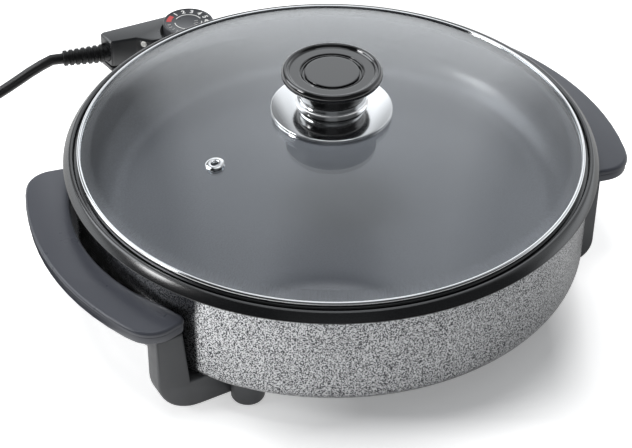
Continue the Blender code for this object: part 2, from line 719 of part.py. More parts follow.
def make_outer_casing():
    """The hammered shell: a drawn wall with a round lower corner and a flange below."""
    center_r = CASING_R - CASING_CORNER_R
    center_z = CASING_BOTTOM_Z + CASING_CORNER_R
    inner = CASING_CORNER_R - CASING_WALL
    profile = [(CASING_R - CASING_WALL, CASING_TOP_Z), (CASING_R, CASING_TOP_Z)]
    profile += arc(center_r, center_z, CASING_CORNER_R, 0, -90, 4)
    profile += [(CASING_FLANGE_R, CASING_BOTTOM_Z), (CASING_FLANGE_R, CASING_BOTTOM_Z + CASING_WALL)]
    profile += arc(center_r, center_z, inner, -90, 0, 4)
    casing = turned("outer_casing", profile, PAN_STEPS, "hammertone")
    window = box("casing_window", (-BLOCK_NECK_W / 2 - GAP, BLOCK_BACK_Y, PLUG_Z - BLOCK_NECK_H / 2 - GAP),
                 (BLOCK_NECK_W / 2 + GAP, CASING_R + OVERRUN, PLUG_Z + BLOCK_NECK_H / 2 + GAP))
    cut(casing, window)
    hole_r = SCREW_SHANK_R + GAP
    inner_r = CASING_R - CASING_WALL - OVERRUN
    for name, sign_x, sign_y in quarters():
        wall_hole = rod("wall_hole_" + name, wall_screw_place(sign_x, sign_y, inner_r),
                        wall_screw_place(sign_x, sign_y, CASING_R + OVERRUN), hole_r, SCREW_STEPS)
        cut(casing, wall_hole)
    for side in (-1, 1):
        start = (side * EAR_SCREW_X, BLOCK_BACK_Y, PLUG_Z)
        end = (side * EAR_SCREW_X, CASING_R + OVERRUN, PLUG_Z)
        cut(casing, rod("ear_hole_%d" % side, start, end, hole_r, SCREW_STEPS))
    return casing


def make_base_cover():
    """The sheet under the heater, with a turned-down hem, and its stud and nut."""
    hem_r = COVER_R - COVER_WALL
    low = COVER_LOW_Z - COVER_HEM_H
    bore = STUD_R + GAP
    profile = [(bore, COVER_TOP_Z), (COVER_R, COVER_TOP_Z), (COVER_R, low), (hem_r, low),
               (hem_r, COVER_LOW_Z), (bore, COVER_LOW_Z)]
    cover = turned("base_cover", profile, PAN_STEPS, "zinc_sheet")
    nut_top = COVER_LOW_Z - GAP
    stud_top = SPREADER_LOW_Z - GAP
    stud_low = nut_top - NUT_H - STUD_TIP
    turned("cover_stud", [(0, stud_top), (STUD_R, stud_top), (STUD_R, stud_low), (0, stud_low)], SMALL_STEPS,
           "steel")
    turned("cover_nut", [(bore, nut_top), (NUT_R, nut_top), (NUT_R, nut_top - NUT_H),
                         (bore, nut_top - NUT_H)], 6,
           "steel")
    return cover


def make_heater():
    """The spreader plate and the tube element with its two ends turned to the back."""
    plate = turned("heat_spreader", [(0, SPREADER_TOP_Z), (PLATE_R, SPREADER_TOP_Z),
                                     (PLATE_R, SPREADER_LOW_Z),
                                     (0, SPREADER_LOW_Z)], PAN_STEPS, "aluminium")
    half = PIN_SPACING / 2
    bend_x = half + ELEMENT_BEND_R
    reach = ELEMENT_RING_R + ELEMENT_BEND_R
    bend_y = math.sqrt(reach ** 2 - bend_x ** 2)
    meet = math.degrees(math.atan2(bend_y, bend_x))
    right = [(half, ELEMENT_END_Y)] + arc(bend_x, bend_y, ELEMENT_BEND_R, HALF_TURN, HALF_TURN + meet, 5)
    ring = arc(0, 0, ELEMENT_RING_R, meet, -HALF_TURN - meet, 33)
    route = right + ring[1:-1] + [(-x, y) for x, y in reversed(right)]
    tube("heating_element", [(x, y, PLUG_Z) for x, y in route], ELEMENT_R, "element_steel")
    return plate


def tube(name, points, radius, paint, axis="pan_axis", resolution=2):
    """A round bar along points, as a POLY curve with filled caps."""
    curve = bpy.data.curves.new(name, "CURVE")
    curve.dimensions = "3D"
    curve.bevel_depth = radius
    curve.bevel_resolution = resolution
    curve.use_fill_caps = True
    spline = curve.splines.new("POLY")
    spline.points.add(len(points) - 1)
    for point, spot in zip(spline.points, points):
        point.co = (*spot, 1)
    return add_object(name, curve, paint, axis)


def make_terminals():
    """The pins, the ceramic block in the casing's window and the probe's well."""
    half = PIN_SPACING / 2
    length = PIN_TIP_Y - ELEMENT_END_Y - GAP
    pin = blank_mesh("terminal_pin", [(0, length), (PIN_R * 0.7, length), (PIN_R, length - PIN_R),
                                      (PIN_R, 0), (0, 0)],
                     12)
    for name, side in (("left", -1), ("right", 1)):
        placed("terminal_pin_" + name, pin, aimed((side * half, ELEMENT_END_Y + GAP, PLUG_Z), (0, 1, 0)),
               "nickel")
    block = prism("terminal_block", rectangle(-BLOCK_FLANGE_W / 2, -BLOCK_FLANGE_H / 2, BLOCK_FLANGE_W / 2,
                                              BLOCK_FLANGE_H / 2), BLOCK_BACK_Y, BLOCK_STEP_Y, "ceramic",
                  matrix=facing_back())
    neck = prism("terminal_block_neck", rectangle(-BLOCK_NECK_W / 2, -BLOCK_NECK_H / 2, BLOCK_NECK_W / 2,
                                                  BLOCK_NECK_H / 2), BLOCK_BACK_Y + OVERRUN, BLOCK_FACE_Y,
                 matrix=facing_back())
    join(block, neck)
    back = BLOCK_BACK_Y - OVERRUN
    front = BLOCK_FACE_Y + OVERRUN
    for side in (-1, 1):
        cut(block, rod("block_hole_%d" % side, (side * half, back, PLUG_Z), (side * half, front, PLUG_Z),
                       PIN_R + GAP, 12))
    cut(block, rod("block_well_hole", (0, back, PLUG_Z), (0, front, PLUG_Z), WELL_R + GAP))
    length = WELL_MOUTH_Y - WELL_END_Y
    profile = [(0, WELL_END_T), (WELL_BORE_R, WELL_END_T), (WELL_BORE_R, length), (WELL_R, length),
               (WELL_R, 0),
               (0, 0)]
    well = turned("probe_well", profile, SMALL_STEPS, "steel")
    well.rotation_euler = (-math.pi / 2, 0, 0)
    well.location = (0, WELL_END_Y, PLUG_Z)
    return block


def facing_back():
    """Stands an outline of (x, z) up so that its extrusion runs along +Y at the plug's height."""
    return Matrix.Translation((0, 0, PLUG_Z)) @ Matrix(((1, 0, 0, 0), (0, 0, 1, 0), (0, 1, 0, 0),
                                                        (0, 0, 0, 1)))


def make_socket_guard(clearance):
    """The shroud round the pins, screwed to the casing by two ears."""
    half_w = GUARD_W / 2
    half_h = GUARD_H / 2
    guard = prism("socket_guard", rectangle(-half_w, -half_h, half_w, half_h, GUARD_ROUND),
                  GUARD_BACK_Y, GUARD_FACE_Y, "black_plastic", matrix=facing_back())
    ears = prism("guard_ears", rectangle(-EAR_W / 2, -EAR_H / 2, EAR_W / 2, EAR_H / 2, GUARD_ROUND),
                 GUARD_BACK_Y - GUARD_ROUND, EAR_FACE_Y, matrix=facing_back())
    join(guard, ears)
    bore_w = NOSE_W / 2 + GAP
    bore_h = NOSE_H / 2 + GAP
    bore = prism("guard_bore", rectangle(-bore_w, -bore_h, bore_w, bore_h, GUARD_ROUND),
                 BLOCK_BACK_Y, GUARD_FACE_Y + OVERRUN, matrix=facing_back())
    cut(guard, bore, clearance)
    mesh = screw_mesh("guard_screw", EAR_SCREW_L)
    for name, side in (("left", -1), ("right", 1)):
        x = side * EAR_SCREW_X
        cut(guard, rod("ear_bore_" + name, (x, BLOCK_BACK_Y, PLUG_Z), (x, EAR_FACE_Y + OVERRUN, PLUG_Z),
                       SCREW_SHANK_R + GAP, SCREW_STEPS))
        placed("guard_screw_" + name, mesh, aimed((x, EAR_FACE_Y + GAP, PLUG_Z), (0, 1, 0)), "steel")
    return guard


def bow_outline(side, inset=0.0):
    """A handle's outline seen from above: two arcs and two rounded ends."""
    outer_x = TIP_X - BOW_OUTER_R
    inner_x = BOW_INNER_X - BOW_INNER_R
    radius = BOW_OUTER_R - inset
    corners = []
    for share in BOW_REACH_SHARES:
        y = share * BOW_CORNER_Y
        corners.append((outer_x + math.sqrt(radius ** 2 - y ** 2), y, 0))
    corner_x = BOW_CORNER_X - inset
    corner_y = BOW_CORNER_Y - inset
    corners += [(corner_x, corner_y, BOW_CORNER_R), (BOW_END_X, BOW_END_Y - inset, BOW_END_R)]
    radius = BOW_INNER_R + inset
    for share in reversed(BOW_REACH_SHARES):
        y = share * BOW_END_Y
        corners.append((inner_x + math.sqrt(radius ** 2 - y ** 2), y, 0))
    corners += [(BOW_END_X, -BOW_END_Y + inset, BOW_END_R), (corner_x, -corner_y, BOW_CORNER_R)]
    return [(side * x, y) for x, y in rounded(corners, 4)]


def pocket_outline(side):
    """The hollow under a handle frame, between its two ends."""
    outer_x = TIP_X - BOW_OUTER_R
    inner_x = BOW_INNER_X - BOW_INNER_R
    outer_r = BOW_OUTER_R - FRAME_POCKET_RIM
    inner_r = BOW_INNER_R + FRAME_POCKET_RIM
    points = []
    for share in BOW_REACH_SHARES[1:-1]:
        y = share * BLOCK_IN_Y
        points.append((side * (outer_x + math.sqrt(outer_r ** 2 - y ** 2)), y))
    for share in reversed(BOW_REACH_SHARES[1:-1]):
        y = share * BLOCK_IN_Y
        points.append((side * (inner_x + math.sqrt(inner_r ** 2 - y ** 2)), y))
    return points


def make_handle(name, side, clearance):
    """One handle: the plate on top, and the frame under it with a hollow for the fingers."""
    plate = prism("handle_plate_" + name, bow_outline(side), HANDLE_TOP_Z - PLATE_TOP_T, HANDLE_TOP_Z,
                  "satin_plastic")
    rounding = bevel(plate, PLATE_EDGE_R, 1)
    rounding.limit_method = "VGROUP"
    rounding.vertex_group = "top"
    group = plate.vertex_groups.new(name="top")
    high = [vertex.index for vertex in plate.data.vertices if vertex.co.z > HANDLE_TOP_Z - PLATE_TOP_T / 2]
    group.add(high, 1.0, "REPLACE")
    cut(plate, clearance)
    frame = prism("handle_frame_" + name, bow_outline(side, FRAME_INSET), FRAME_LOW_Z, FRAME_TOP_Z,
                  "satin_plastic")
    pocket = prism("frame_pocket_" + name, pocket_outline(side), FRAME_LOW_Z - OVERRUN,
                   FRAME_LOW_Z + FRAME_POCKET_DEPTH)
    cut(frame, clearance, pocket)
    for end in (-1, 1):
        x = side * (SPIGOT_X if stands_out(side, end) else CLOSE_SPIGOT_X)
        y = end * SPIGOT_Y
        cut(frame, rod("spigot_hole_%s_%d" % (name, end), (x, y, FRAME_LOW_Z - OVERRUN),
                       (x, y, FRAME_LOW_Z + SPIGOT_H + GAP), SPIGOT_R + GAP, SCREW_STEPS))
    return plate


def stands_out(sign_x, sign_y):
    """Whether this leg stands out; the two handles are the same moulding, turned half round."""
    return sign_x == sign_y


def make_leg(name, sign_x, sign_y, clearance):
    """One leg: a post under the handle's end, a runner below the casing and a round boss."""
    out_x, in_top_x, in_low_x, corner_r, spigot_x = (
        (LEG_OUT_X, LEG_IN_TOP_X, LEG_IN_LOW_X, LEG_CORNER_R, SPIGOT_X) if stands_out(sign_x, sign_y) else
        (CLOSE_LEG_OUT_X, CLOSE_LEG_IN_X, CLOSE_LEG_IN_X, CLOSE_LEG_CORNER_R, CLOSE_SPIGOT_X))
    outline = rounded([(out_x, LEG_TOP_Z, 0), (out_x, SHOE_Z, corner_r), (RUNNER_END_X, SHOE_Z, 0),
                       (RUNNER_END_X, RUNNER_TOP_Z, 0), (in_low_x, RUNNER_TOP_Z, 0),
                       (in_top_x, LEG_TOP_Z, 0)], 5)
    stand = Matrix(((sign_x, 0, 0, 0), (0, 0, sign_y, 0), (0, 1, 0, 0), (0, 0, 0, 1)))
    leg = prism("leg_" + name, outline, LEG_BACK_Y, LEG_FACE_Y, "leg_plastic", matrix=stand)
    bevel(leg, LEG_EDGE_R, 1, math.radians(60))
    low = (sign_x * BLOCK_IN_X, sign_y * BLOCK_IN_Y, BLOCK_LOW_Z)
    high = (sign_x * BLOCK_OUT_X, sign_y * BLOCK_OUT_Y, LEG_TOP_Z - LEG_EDGE_R)
    boss = rod("leg_boss_" + name, (sign_x * BOSS_X, sign_y * BOSS_Y, SHOE_Z + LEG_EDGE_R / 2),
               (sign_x * BOSS_X, sign_y * BOSS_Y, BOSS_TOP_Z), BOSS_R, 24)
    top = (sign_x * spigot_x, sign_y * SPIGOT_Y)
    spigot = rod("leg_spigot_" + name, (*top, LEG_TOP_Z - SPIGOT_H), (*top, FRAME_LOW_Z + SPIGOT_H), SPIGOT_R,
                 SCREW_STEPS)
    join(leg, box("leg_block_" + name, low, high), boss, spigot)
    center = (sign_x * BOSS_X, sign_y * BOSS_Y)
    pad_hole = rod("pad_hole_" + name, (*center, -OVERRUN), (*center, SHOE_Z + PAD_RECESS), PAD_R + GAP, 20)
    wall_hole = rod("leg_wall_hole_" + name, wall_screw_place(sign_x, sign_y, CASING_R - OVERRUN),
                    wall_screw_place(sign_x, sign_y, CASING_R - CASING_WALL + WALL_SCREW_L),
                    SCREW_SHANK_R + GAP,
                    SCREW_STEPS)
    cut(leg, clearance, pad_hole, wall_hole)
    pad_top = SHOE_Z + PAD_RECESS - GAP
    turned("foot_pad_" + name, [(0, pad_top), (PAD_R, pad_top), (PAD_R, LEG_EDGE_R / 2),
                                (PAD_R - LEG_EDGE_R / 2, 0),
                                (0, 0)], 20, "rubber", place=(*center, 0))
    return leg


def make_wall_screws():
    """The four screws that hold the legs, driven from inside the casing."""
    mesh = screw_mesh("wall_screw", WALL_SCREW_L)
    seat_r = (CASING_R - CASING_WALL) * math.cos(math.pi / PAN_STEPS) - GAP
    for name, sign_x, sign_y in quarters():
        seat = wall_screw_place(sign_x, sign_y, seat_r)
        placed("wall_screw_" + name, mesh, aimed(seat, (-seat.x, -seat.y, 0)), "steel")


def dome_z(radius, drop=0.0):
    """Height of the glass's upper face, or of a face below it, at a radius."""
    return DOME_TOP_Z - DOME_R + math.sqrt(DOME_R ** 2 - radius ** 2) - drop


def make_lid_glass():
    """The domed glass, flat at its rim, with holes for the knob's screw and the vent."""
    span = DOME_BASE_R - TOP_WASHER_R
    outer = [TOP_WASHER_R + span * at / (DOME_POINTS - 1) for at in range(DOME_POINTS)]
    reach = [GLASS_HOLE_R] + outer
    top = [(radius, dome_z(radius)) for radius in reach]
    low = [(radius, dome_z(radius, GLASS_T)) for radius in reversed(reach)]
    rim = [(GLASS_RIM_R, GLASS_RIM_Z), (GLASS_RIM_R, GLASS_LOW_Z)]
    glass = turned("lid_glass", top + rim + low, LID_STEPS, "glass", "lid_axis")
    spot, normal = vent_frame()
    cut(glass, rod("vent_hole", spot - normal * (GLASS_T + OVERRUN), spot + normal * OVERRUN,
                   VENT_TUBE_R + GAP, 12, axis="lid_axis"))
    return glass


def vent_frame():
    """The vent's place on the glass's upper face, and the face's normal there."""
    x = VENT_RADIUS * math.cos(VENT_AZIMUTH)
    y = VENT_RADIUS * math.sin(VENT_AZIMUTH)
    spot = Vector((x, y, dome_z(VENT_RADIUS)))
    return spot, (spot - Vector((0, 0, DOME_TOP_Z - DOME_R))).normalized()


def make_lid_trim():
    """The steel band round the glass and the eyelet of the vent."""
    inner = LID_R - BAND_W
    slot_r = GLASS_RIM_R + GAP
    slot_low = GLASS_LOW_Z - GAP
    slot_high = GLASS_RIM_Z + GAP
    ease = BAND_LIP
    profile = [(inner, BAND_TOP_Z - ease / 2), (inner + ease, BAND_TOP_Z), (LID_R - ease, BAND_TOP_Z),
               (LID_R, BAND_TOP_Z - ease), (LID_R, BAND_LOW_Z + ease), (LID_R - ease, BAND_LOW_Z),
               (inner, BAND_LOW_Z), (inner, slot_low), (slot_r, slot_low), (slot_r, slot_high),
               (inner, slot_high)]
    turned("lid_band", profile, LID_STEPS, "chrome", "lid_axis")
    high = GAP
    low = -GLASS_T - GAP
    ease = VENT_FLANGE_T / 2
    profile = [(VENT_BORE_R, high + ease), (VENT_BORE_R + ease, high + VENT_FLANGE_T),
               (VENT_FLANGE_R - ease, high + VENT_FLANGE_T), (VENT_FLANGE_R, high + ease),
               (VENT_FLANGE_R, high),
               (VENT_TUBE_R, high), (VENT_TUBE_R, low), (VENT_FLANGE_R, low),
               (VENT_FLANGE_R, low - VENT_FLANGE_T),
               (VENT_BORE_R, low - VENT_FLANGE_T)]
    eyelet = turned("vent_eyelet", profile, SMALL_STEPS, "chrome", "lid_axis")
    spot, normal = vent_frame()
    eyelet.location = spot
    eyelet.rotation_euler = Vector((0, 0, 1)).rotation_difference(normal).to_euler()


def make_knob():
    """The knob's stack from the glass up, and its screw and washers under the glass."""
    bore = KNOB_SCREW_HOLE_R
    hollow_z = DOME_TOP_Z + GAP + WASHER_T + GAP
    disc = [(bore, DISC_TOP_Z), (COLLAR_R, DISC_TOP_Z), (DISC_R - DISC_ROUND, DISC_EDGE_Z),
            (DISC_R, DISC_EDGE_Z - DISC_ROUND), (DISC_R, DISC_LOW_Z), (DISC_R - DISC_RIM_W, DISC_LOW_Z),
            (DISC_R - DISC_RIM_W, hollow_z), (bore, hollow_z)]
    turned("knob_disc", disc, KNOB_STEPS, "polished_steel", "lid_axis")
    high = COLLAR_LOW_Z + COLLAR_H
    collar = [(bore, high), (COLLAR_TOP_R, high), (COLLAR_R, COLLAR_LOW_Z), (bore, COLLAR_LOW_Z)]
    turned("knob_collar", collar, KNOB_STEPS, "polished_steel", "lid_axis")
    waist = (GRIP_FOOT_R + GRIP_NECK_R) / 2
    side_z = (GRIP_CAP_Z + GRIP_TOP_Z) / 2
    edge = (GRIP_R - GRIP_RIM_R) / 2
    grip = [(0, GRIP_GROOVE_Z), (GRIP_GROOVE_R, GRIP_GROOVE_Z), (GRIP_GROOVE_R, GRIP_LAND_Z),
            (GRIP_RIM_R, GRIP_LAND_Z), (GRIP_RIM_R + edge / 2, GRIP_TOP_Z),
            (GRIP_R - edge / 2, GRIP_TOP_Z - edge / 4),
            (GRIP_R, side_z), (GRIP_R - edge, GRIP_CAP_Z), (GRIP_NECK_R, GRIP_CAP_Z),
            (waist + edge / 4, GRIP_LOW_Z + GRIP_NECK_H / 2), (GRIP_FOOT_R, GRIP_LOW_Z), (0, GRIP_LOW_Z)]
    knob = turned("knob_grip", grip, KNOB_STEPS, "gloss_plastic", "lid_axis")
    tip = GRIP_LOW_Z + KNOB_SCREW_BITE
    cut(knob, rod("grip_hole", (0, 0, GRIP_LOW_Z - OVERRUN), (0, 0, tip + GAP), bore, 12, axis="lid_axis"))
    low = GRIP_GROOVE_Z + GAP
    turned("knob_inlay", [(0, GRIP_LAND_Z), (INLAY_R - GAP, GRIP_LAND_Z), (INLAY_R, GRIP_LAND_Z - GAP),
                          (INLAY_R, low),
                          (0, low)], KNOB_STEPS, "gloss_plastic", "lid_axis")
    washer("glass_washer_upper", TOP_WASHER_R, DOME_TOP_Z + GAP, "silicone")
    under = DOME_TOP_Z - GLASS_T - GAP - WASHER_T
    washer("glass_washer_lower", LOW_WASHER_R, under, "silicone")
    cup = under - GAP - WASHER_T
    washer("screw_washer", CUP_WASHER_R, cup, "steel")
    head = cup - GAP
    profile = [(0, tip), (KNOB_SCREW_R, tip), (KNOB_SCREW_R, head), (KNOB_SCREW_HEAD_R, head),
               (KNOB_SCREW_HEAD_R, head - KNOB_SCREW_HEAD_H / 2),
               (KNOB_SCREW_HEAD_R * 0.7, head - KNOB_SCREW_HEAD_H), (0, head - KNOB_SCREW_HEAD_H)]
    turned("knob_screw", profile, SMALL_STEPS, "steel", "lid_axis")


def washer(name, radius, low, paint):
    profile = [(KNOB_SCREW_HOLE_R, low + WASHER_T), (radius, low + WASHER_T), (radius, low),
               (KNOB_SCREW_HOLE_R, low)]
    return turned(name, profile, 24, paint, "lid_axis")


def arm_corners(inset=0.0):
    """The arm from above, from its cord end to the head; the inset makes the hollow inside."""
    end_x = inset
    return [(ARM_END_X + end_x, ARM_END_BACK_Y - inset, ARM_ROUND),
            (ARM_END_FRONT_X + end_x, ARM_END_FRONT_Y + inset, ARM_ROUND),
            (ARM_KNEE_X, ARM_KNEE_Y + inset, ARM_ROUND),
            (ARM_SCOOP_X + inset, ARM_SCOOP_Y + inset, ARM_ROUND),
            (ARM_ROOT_X, ARM_ROOT_Y + inset, 0),
            (ARM_BACK_X, ARM_BACK_Y - inset, 0)]


def head_outline(front, inset=0.0):
    """The head from above: a round back joined to a straight front."""
    half = HEAD_W / 2 - inset
    radius = HEAD_R - inset
    low = front + inset
    back = HEAD_BACK_Y - inset
    start = math.degrees(math.asin(min(1.0, (back - DIAL_Y) / radius)))
    points = [(half, low), (half, back)]
    points += [spot for spot in arc(DIAL_X, DIAL_Y, radius, start, 180, 12) if spot[0] < half]
    points += [(DIAL_X - radius, low)]
    return points


def make_upper_housing():
    """The arm and the deck under the dial: one moulding, hollow from below."""
    arm = prism("controller_upper_housing", rounded(arm_corners()), SPLIT_Z, ARM_TOP_Z, "satin_plastic",
                "controller_axis")
    bevel(arm, ARM_EDGE_R, 1)
    recess = rod("dial_recess", (DIAL_X, DIAL_Y, HEAD_TOP_Z), (DIAL_X, DIAL_Y, ARM_TOP_Z + OVERRUN),
                 DIAL_RECESS_R, 32)
    deck = prism("head_deck", head_outline(HEAD_DECK_Y), SPLIT_Z, HEAD_TOP_Z)
    bevel(deck, ARM_EDGE_R, 1, math.radians(80))
    room = prism("arm_room", rounded(arm_corners(HOUSING_WALL)), SPLIT_Z - OVERRUN, ARM_TOP_Z - HOUSING_WALL)
    cut(room, rod("room_limit", (DIAL_X, DIAL_Y, HEAD_TOP_Z - HOUSING_WALL),
                  (DIAL_X, DIAL_Y, ARM_TOP_Z + OVERRUN), DIAL_RECESS_R + HOUSING_WALL, 32))
    head_room = prism("deck_room", head_outline(GUARD_FACE_Y + GAP, HOUSING_WALL), SPLIT_Z - OVERRUN,
                      HEAD_TOP_Z - HOUSING_WALL)
    guard_room = box("guard_room", (-GUARD_W, HEAD_DECK_Y - OVERRUN, SPLIT_Z - OVERRUN),
                     (GUARD_W, GUARD_FACE_Y + GAP, PLUG_Z + GUARD_H / 2 + GAP))
    cut(arm, recess)
    join(arm, deck)
    cut(arm, room, head_room, guard_room)
    cut(arm, rod("spindle_hole", (DIAL_X, DIAL_Y, SPLIT_Z), (DIAL_X, DIAL_Y, ARM_TOP_Z), SPINDLE_R + GAP, 16))
    inner, outer, radius = relief_hole()
    cut(arm, rod("relief_hole", inner, outer, radius, 16))
    start, end = lamp_span(OVERRUN)
    cut(arm, rod("lamp_hole", start, end, LAMP_R + GAP, 12))
    place = (CONTROLLER_SCREW_X, CONTROLLER_SCREW_Y)
    post = rod("screw_post", (*place, SPLIT_Z), (*place, HEAD_TOP_Z - HOUSING_WALL / 2), SCREW_HEAD_R, 12)
    join(arm, post)
    cut(arm, rod("post_hole", (*place, SPLIT_Z - OVERRUN), (*place, SPLIT_Z + CONTROLLER_SCREW_L),
                 SCREW_SHANK_R + GAP, SCREW_STEPS))
    return arm


def relief_direction():
    return Vector((math.cos(RELIEF_YAW), math.sin(RELIEF_YAW), 0))


def relief_hole():
    """The hole in the arm's end that the relief's root sits in."""
    place = Vector((RELIEF_X, RELIEF_Y, RELIEF_Z))
    inner = place - relief_direction() * (RELIEF_ROOT_L + OVERRUN)
    return inner, place + relief_direction() * OVERRUN, RELIEF_ROOT_R - RELIEF_RIB_DEPTH + GAP


def lamp_span(extra):
    """Both ends of the lamp's hole in the arm's front face."""
    aim = Vector((-math.sin(LAMP_AZIMUTH), -math.cos(LAMP_AZIMUTH), 0))
    share = (LAMP_X - ARM_KNEE_X) / (ARM_SCOOP_X - ARM_KNEE_X)
    face_y = ARM_KNEE_Y + (ARM_SCOOP_Y - ARM_KNEE_Y) * share
    face = Vector((LAMP_X, face_y, ARM_TOP_Z - LAMP_DROP))
    return face - aim * (LAMP_L + extra), face + aim * (LAMP_PROUD + extra)


def make_lower_housing():
    """The arm's floor, the head's lower pot and the nose that enters the guard."""
    low = prism("controller_lower_housing", rounded(arm_corners()), ARM_BOTTOM_Z, SPLIT_Z - GAP,
                "satin_plastic", "controller_axis")
    front = GUARD_FACE_Y + GAP
    pot = prism("head_pot", head_outline(front), HEAD_BOTTOM_Z, SPLIT_Z - GAP)
    nose_w = NOSE_W / 2
    nose_h = NOSE_H / 2
    nose = prism("head_nose", rectangle(-nose_w, -nose_h, nose_w, nose_h, GUARD_ROUND), NOSE_TIP_Y,
                 front + HOUSING_WALL / 2, matrix=facing_back())
    join(low, pot)
    room = prism("pot_room", head_outline(front, HOUSING_WALL), HEAD_BOTTOM_Z + HOUSING_WALL,
                 SPLIT_Z + OVERRUN)
    cut(low, room)
    join(low, nose)
    back = front + HOUSING_WALL + OVERRUN
    for side in (-1, 1):
        x = side * PIN_SPACING / 2
        cut(low, rod("nose_pin_hole_%d" % side, (x, NOSE_TIP_Y - OVERRUN, PLUG_Z), (x, back, PLUG_Z),
                     PIN_HOLE_R))
    cut(low, rod("nose_probe_hole", (0, NOSE_TIP_Y - OVERRUN, PLUG_Z), (0, back, PLUG_Z), PROBE_HOLE_R))
    place = (CONTROLLER_SCREW_X, CONTROLLER_SCREW_Y)
    cut(low, rod("low_screw_hole", (*place, HEAD_BOTTOM_Z - OVERRUN), (*place, SPLIT_Z + OVERRUN),
                 SCREW_SHANK_R + GAP, SCREW_STEPS))
    return low


def make_controller_inside():
    """The carrier with the probe, the sockets, the blade, the spindle and the lamp."""
    axis = "controller_axis"
    low_z = HEAD_BOTTOM_Z + HOUSING_WALL + GAP
    half = CARRIER_W / 2
    box("thermostat_carrier", (-half, CARRIER_FACE_Y, low_z),
        (half - HOUSING_WALL, CARRIER_FACE_Y + CARRIER_DEPTH, low_z + CARRIER_H), "ceramic", axis)
    rod("sensing_probe", (0, PROBE_TIP_Y, PLUG_Z), (0, CARRIER_FACE_Y - GAP, PLUG_Z), PROBE_R, 16,
        "steel", axis)
    sleeve_l = CARRIER_FACE_Y - GAP - SOCKET_FACE_Y
    sleeve = blank_mesh("contact_sleeve", [(SOCKET_BORE_R, sleeve_l), (SOCKET_R, sleeve_l), (SOCKET_R, 0),
                                           (SOCKET_BORE_R, 0)], 12)
    for name, side in (("left", -1), ("right", 1)):
        place = aimed((side * PIN_SPACING / 2, SOCKET_FACE_Y, PLUG_Z), (0, 1, 0))
        placed("contact_sleeve_" + name, sleeve, place, "nickel", axis)
    blade_z = low_z + CARRIER_H + GAP
    middle = CARRIER_FACE_Y + CARRIER_DEPTH / 2
    box("bimetal_blade", (DIAL_X - BIMETAL_L / 2, middle - BIMETAL_W / 2, blade_z),
        (DIAL_X + BIMETAL_L / 2, middle + BIMETAL_W / 2, blade_z + BIMETAL_T), "nickel", axis)
    start, end = lamp_span(0)
    rod("pilot_lamp", start, end, LAMP_R, 12, "lamp_lens", axis)
    place = (CONTROLLER_SCREW_X, CONTROLLER_SCREW_Y, HEAD_BOTTOM_Z - GAP)
    length = SPLIT_Z + CONTROLLER_SCREW_L - HEAD_BOTTOM_Z - GAP
    placed("controller_screw", screw_mesh("controller_screw", length), aimed(place, (0, 0, -1)), "steel",
           axis)
    return blade_z + BIMETAL_T


def make_dial(blade_top):
    """The dial: a skirted cap with a shallow face, and the spindle it turns."""
    high = DIAL_TOP_Z
    inside_z = high - DIAL_FACE_DROP - DIAL_SKIRT_WALL
    inner = DIAL_R - DIAL_SKIRT_WALL
    profile = [(0, high - DIAL_FACE_DROP), (DIAL_R - DIAL_RIM_W, high - DIAL_FACE_DROP),
               (DIAL_R - DIAL_RIM_W + DIAL_FACE_DROP, high), (DIAL_R - DIAL_ROUND, high),
               (DIAL_R, high - DIAL_ROUND), (DIAL_R, DIAL_LOW_Z), (inner, DIAL_LOW_Z), (inner, inside_z),
               (DIAL_HUB_R, inside_z), (DIAL_HUB_R, DIAL_LOW_Z), (DIAL_SOCKET_R, DIAL_LOW_Z),
               (DIAL_SOCKET_R, inside_z), (0, inside_z)]
    dial = turned("temperature_dial", profile, KNOB_STEPS, "dial_plastic", "dial_axis", (DIAL_X, DIAL_Y, 0))
    spindle = turned("dial_spindle", [(0, inside_z - GAP), (SPINDLE_R, inside_z - GAP),
                                      (SPINDLE_R, blade_top + GAP), (0, blade_top + GAP)], SMALL_STEPS,
                     "nickel",
                     "dial_axis", (DIAL_X, DIAL_Y, 0))
    return dial, spindle


def make_strain_relief():
    """A ribbed sleeve that tapers from the arm's end to the cord."""
    body = RELIEF_ROOT_L + GAP
    profile = [(0, RELIEF_ROOT_L + RELIEF_L), (RELIEF_TIP_R * 0.8, RELIEF_ROOT_L + RELIEF_L)]
    for at in range(RELIEF_RIBS):
        for rise, depth in ((0.92, 0.0), (0.35, 0.0), (0.22, RELIEF_RIB_DEPTH), (0.06, RELIEF_RIB_DEPTH)):
            along = (RELIEF_RIBS - 1 - at + rise) / RELIEF_RIBS
            radius = RELIEF_ROOT_R + (RELIEF_TIP_R - RELIEF_ROOT_R) * along - depth
            profile.append((radius, body + (RELIEF_L - GAP) * along))
    root = RELIEF_ROOT_R - RELIEF_RIB_DEPTH
    profile += [(root, body), (root, 0), (0, 0)]
    relief = turned("strain_relief", profile, RELIEF_STEPS, "cord_rubber", "controller_axis")
    place = Vector((RELIEF_X, RELIEF_Y, RELIEF_Z)) - relief_direction() * RELIEF_ROOT_L
    relief.location = place
    relief.rotation_euler = Vector((0, 0, 1)).rotation_difference(relief_direction()).to_euler()
    return place + relief_direction() * (RELIEF_ROOT_L + RELIEF_L)


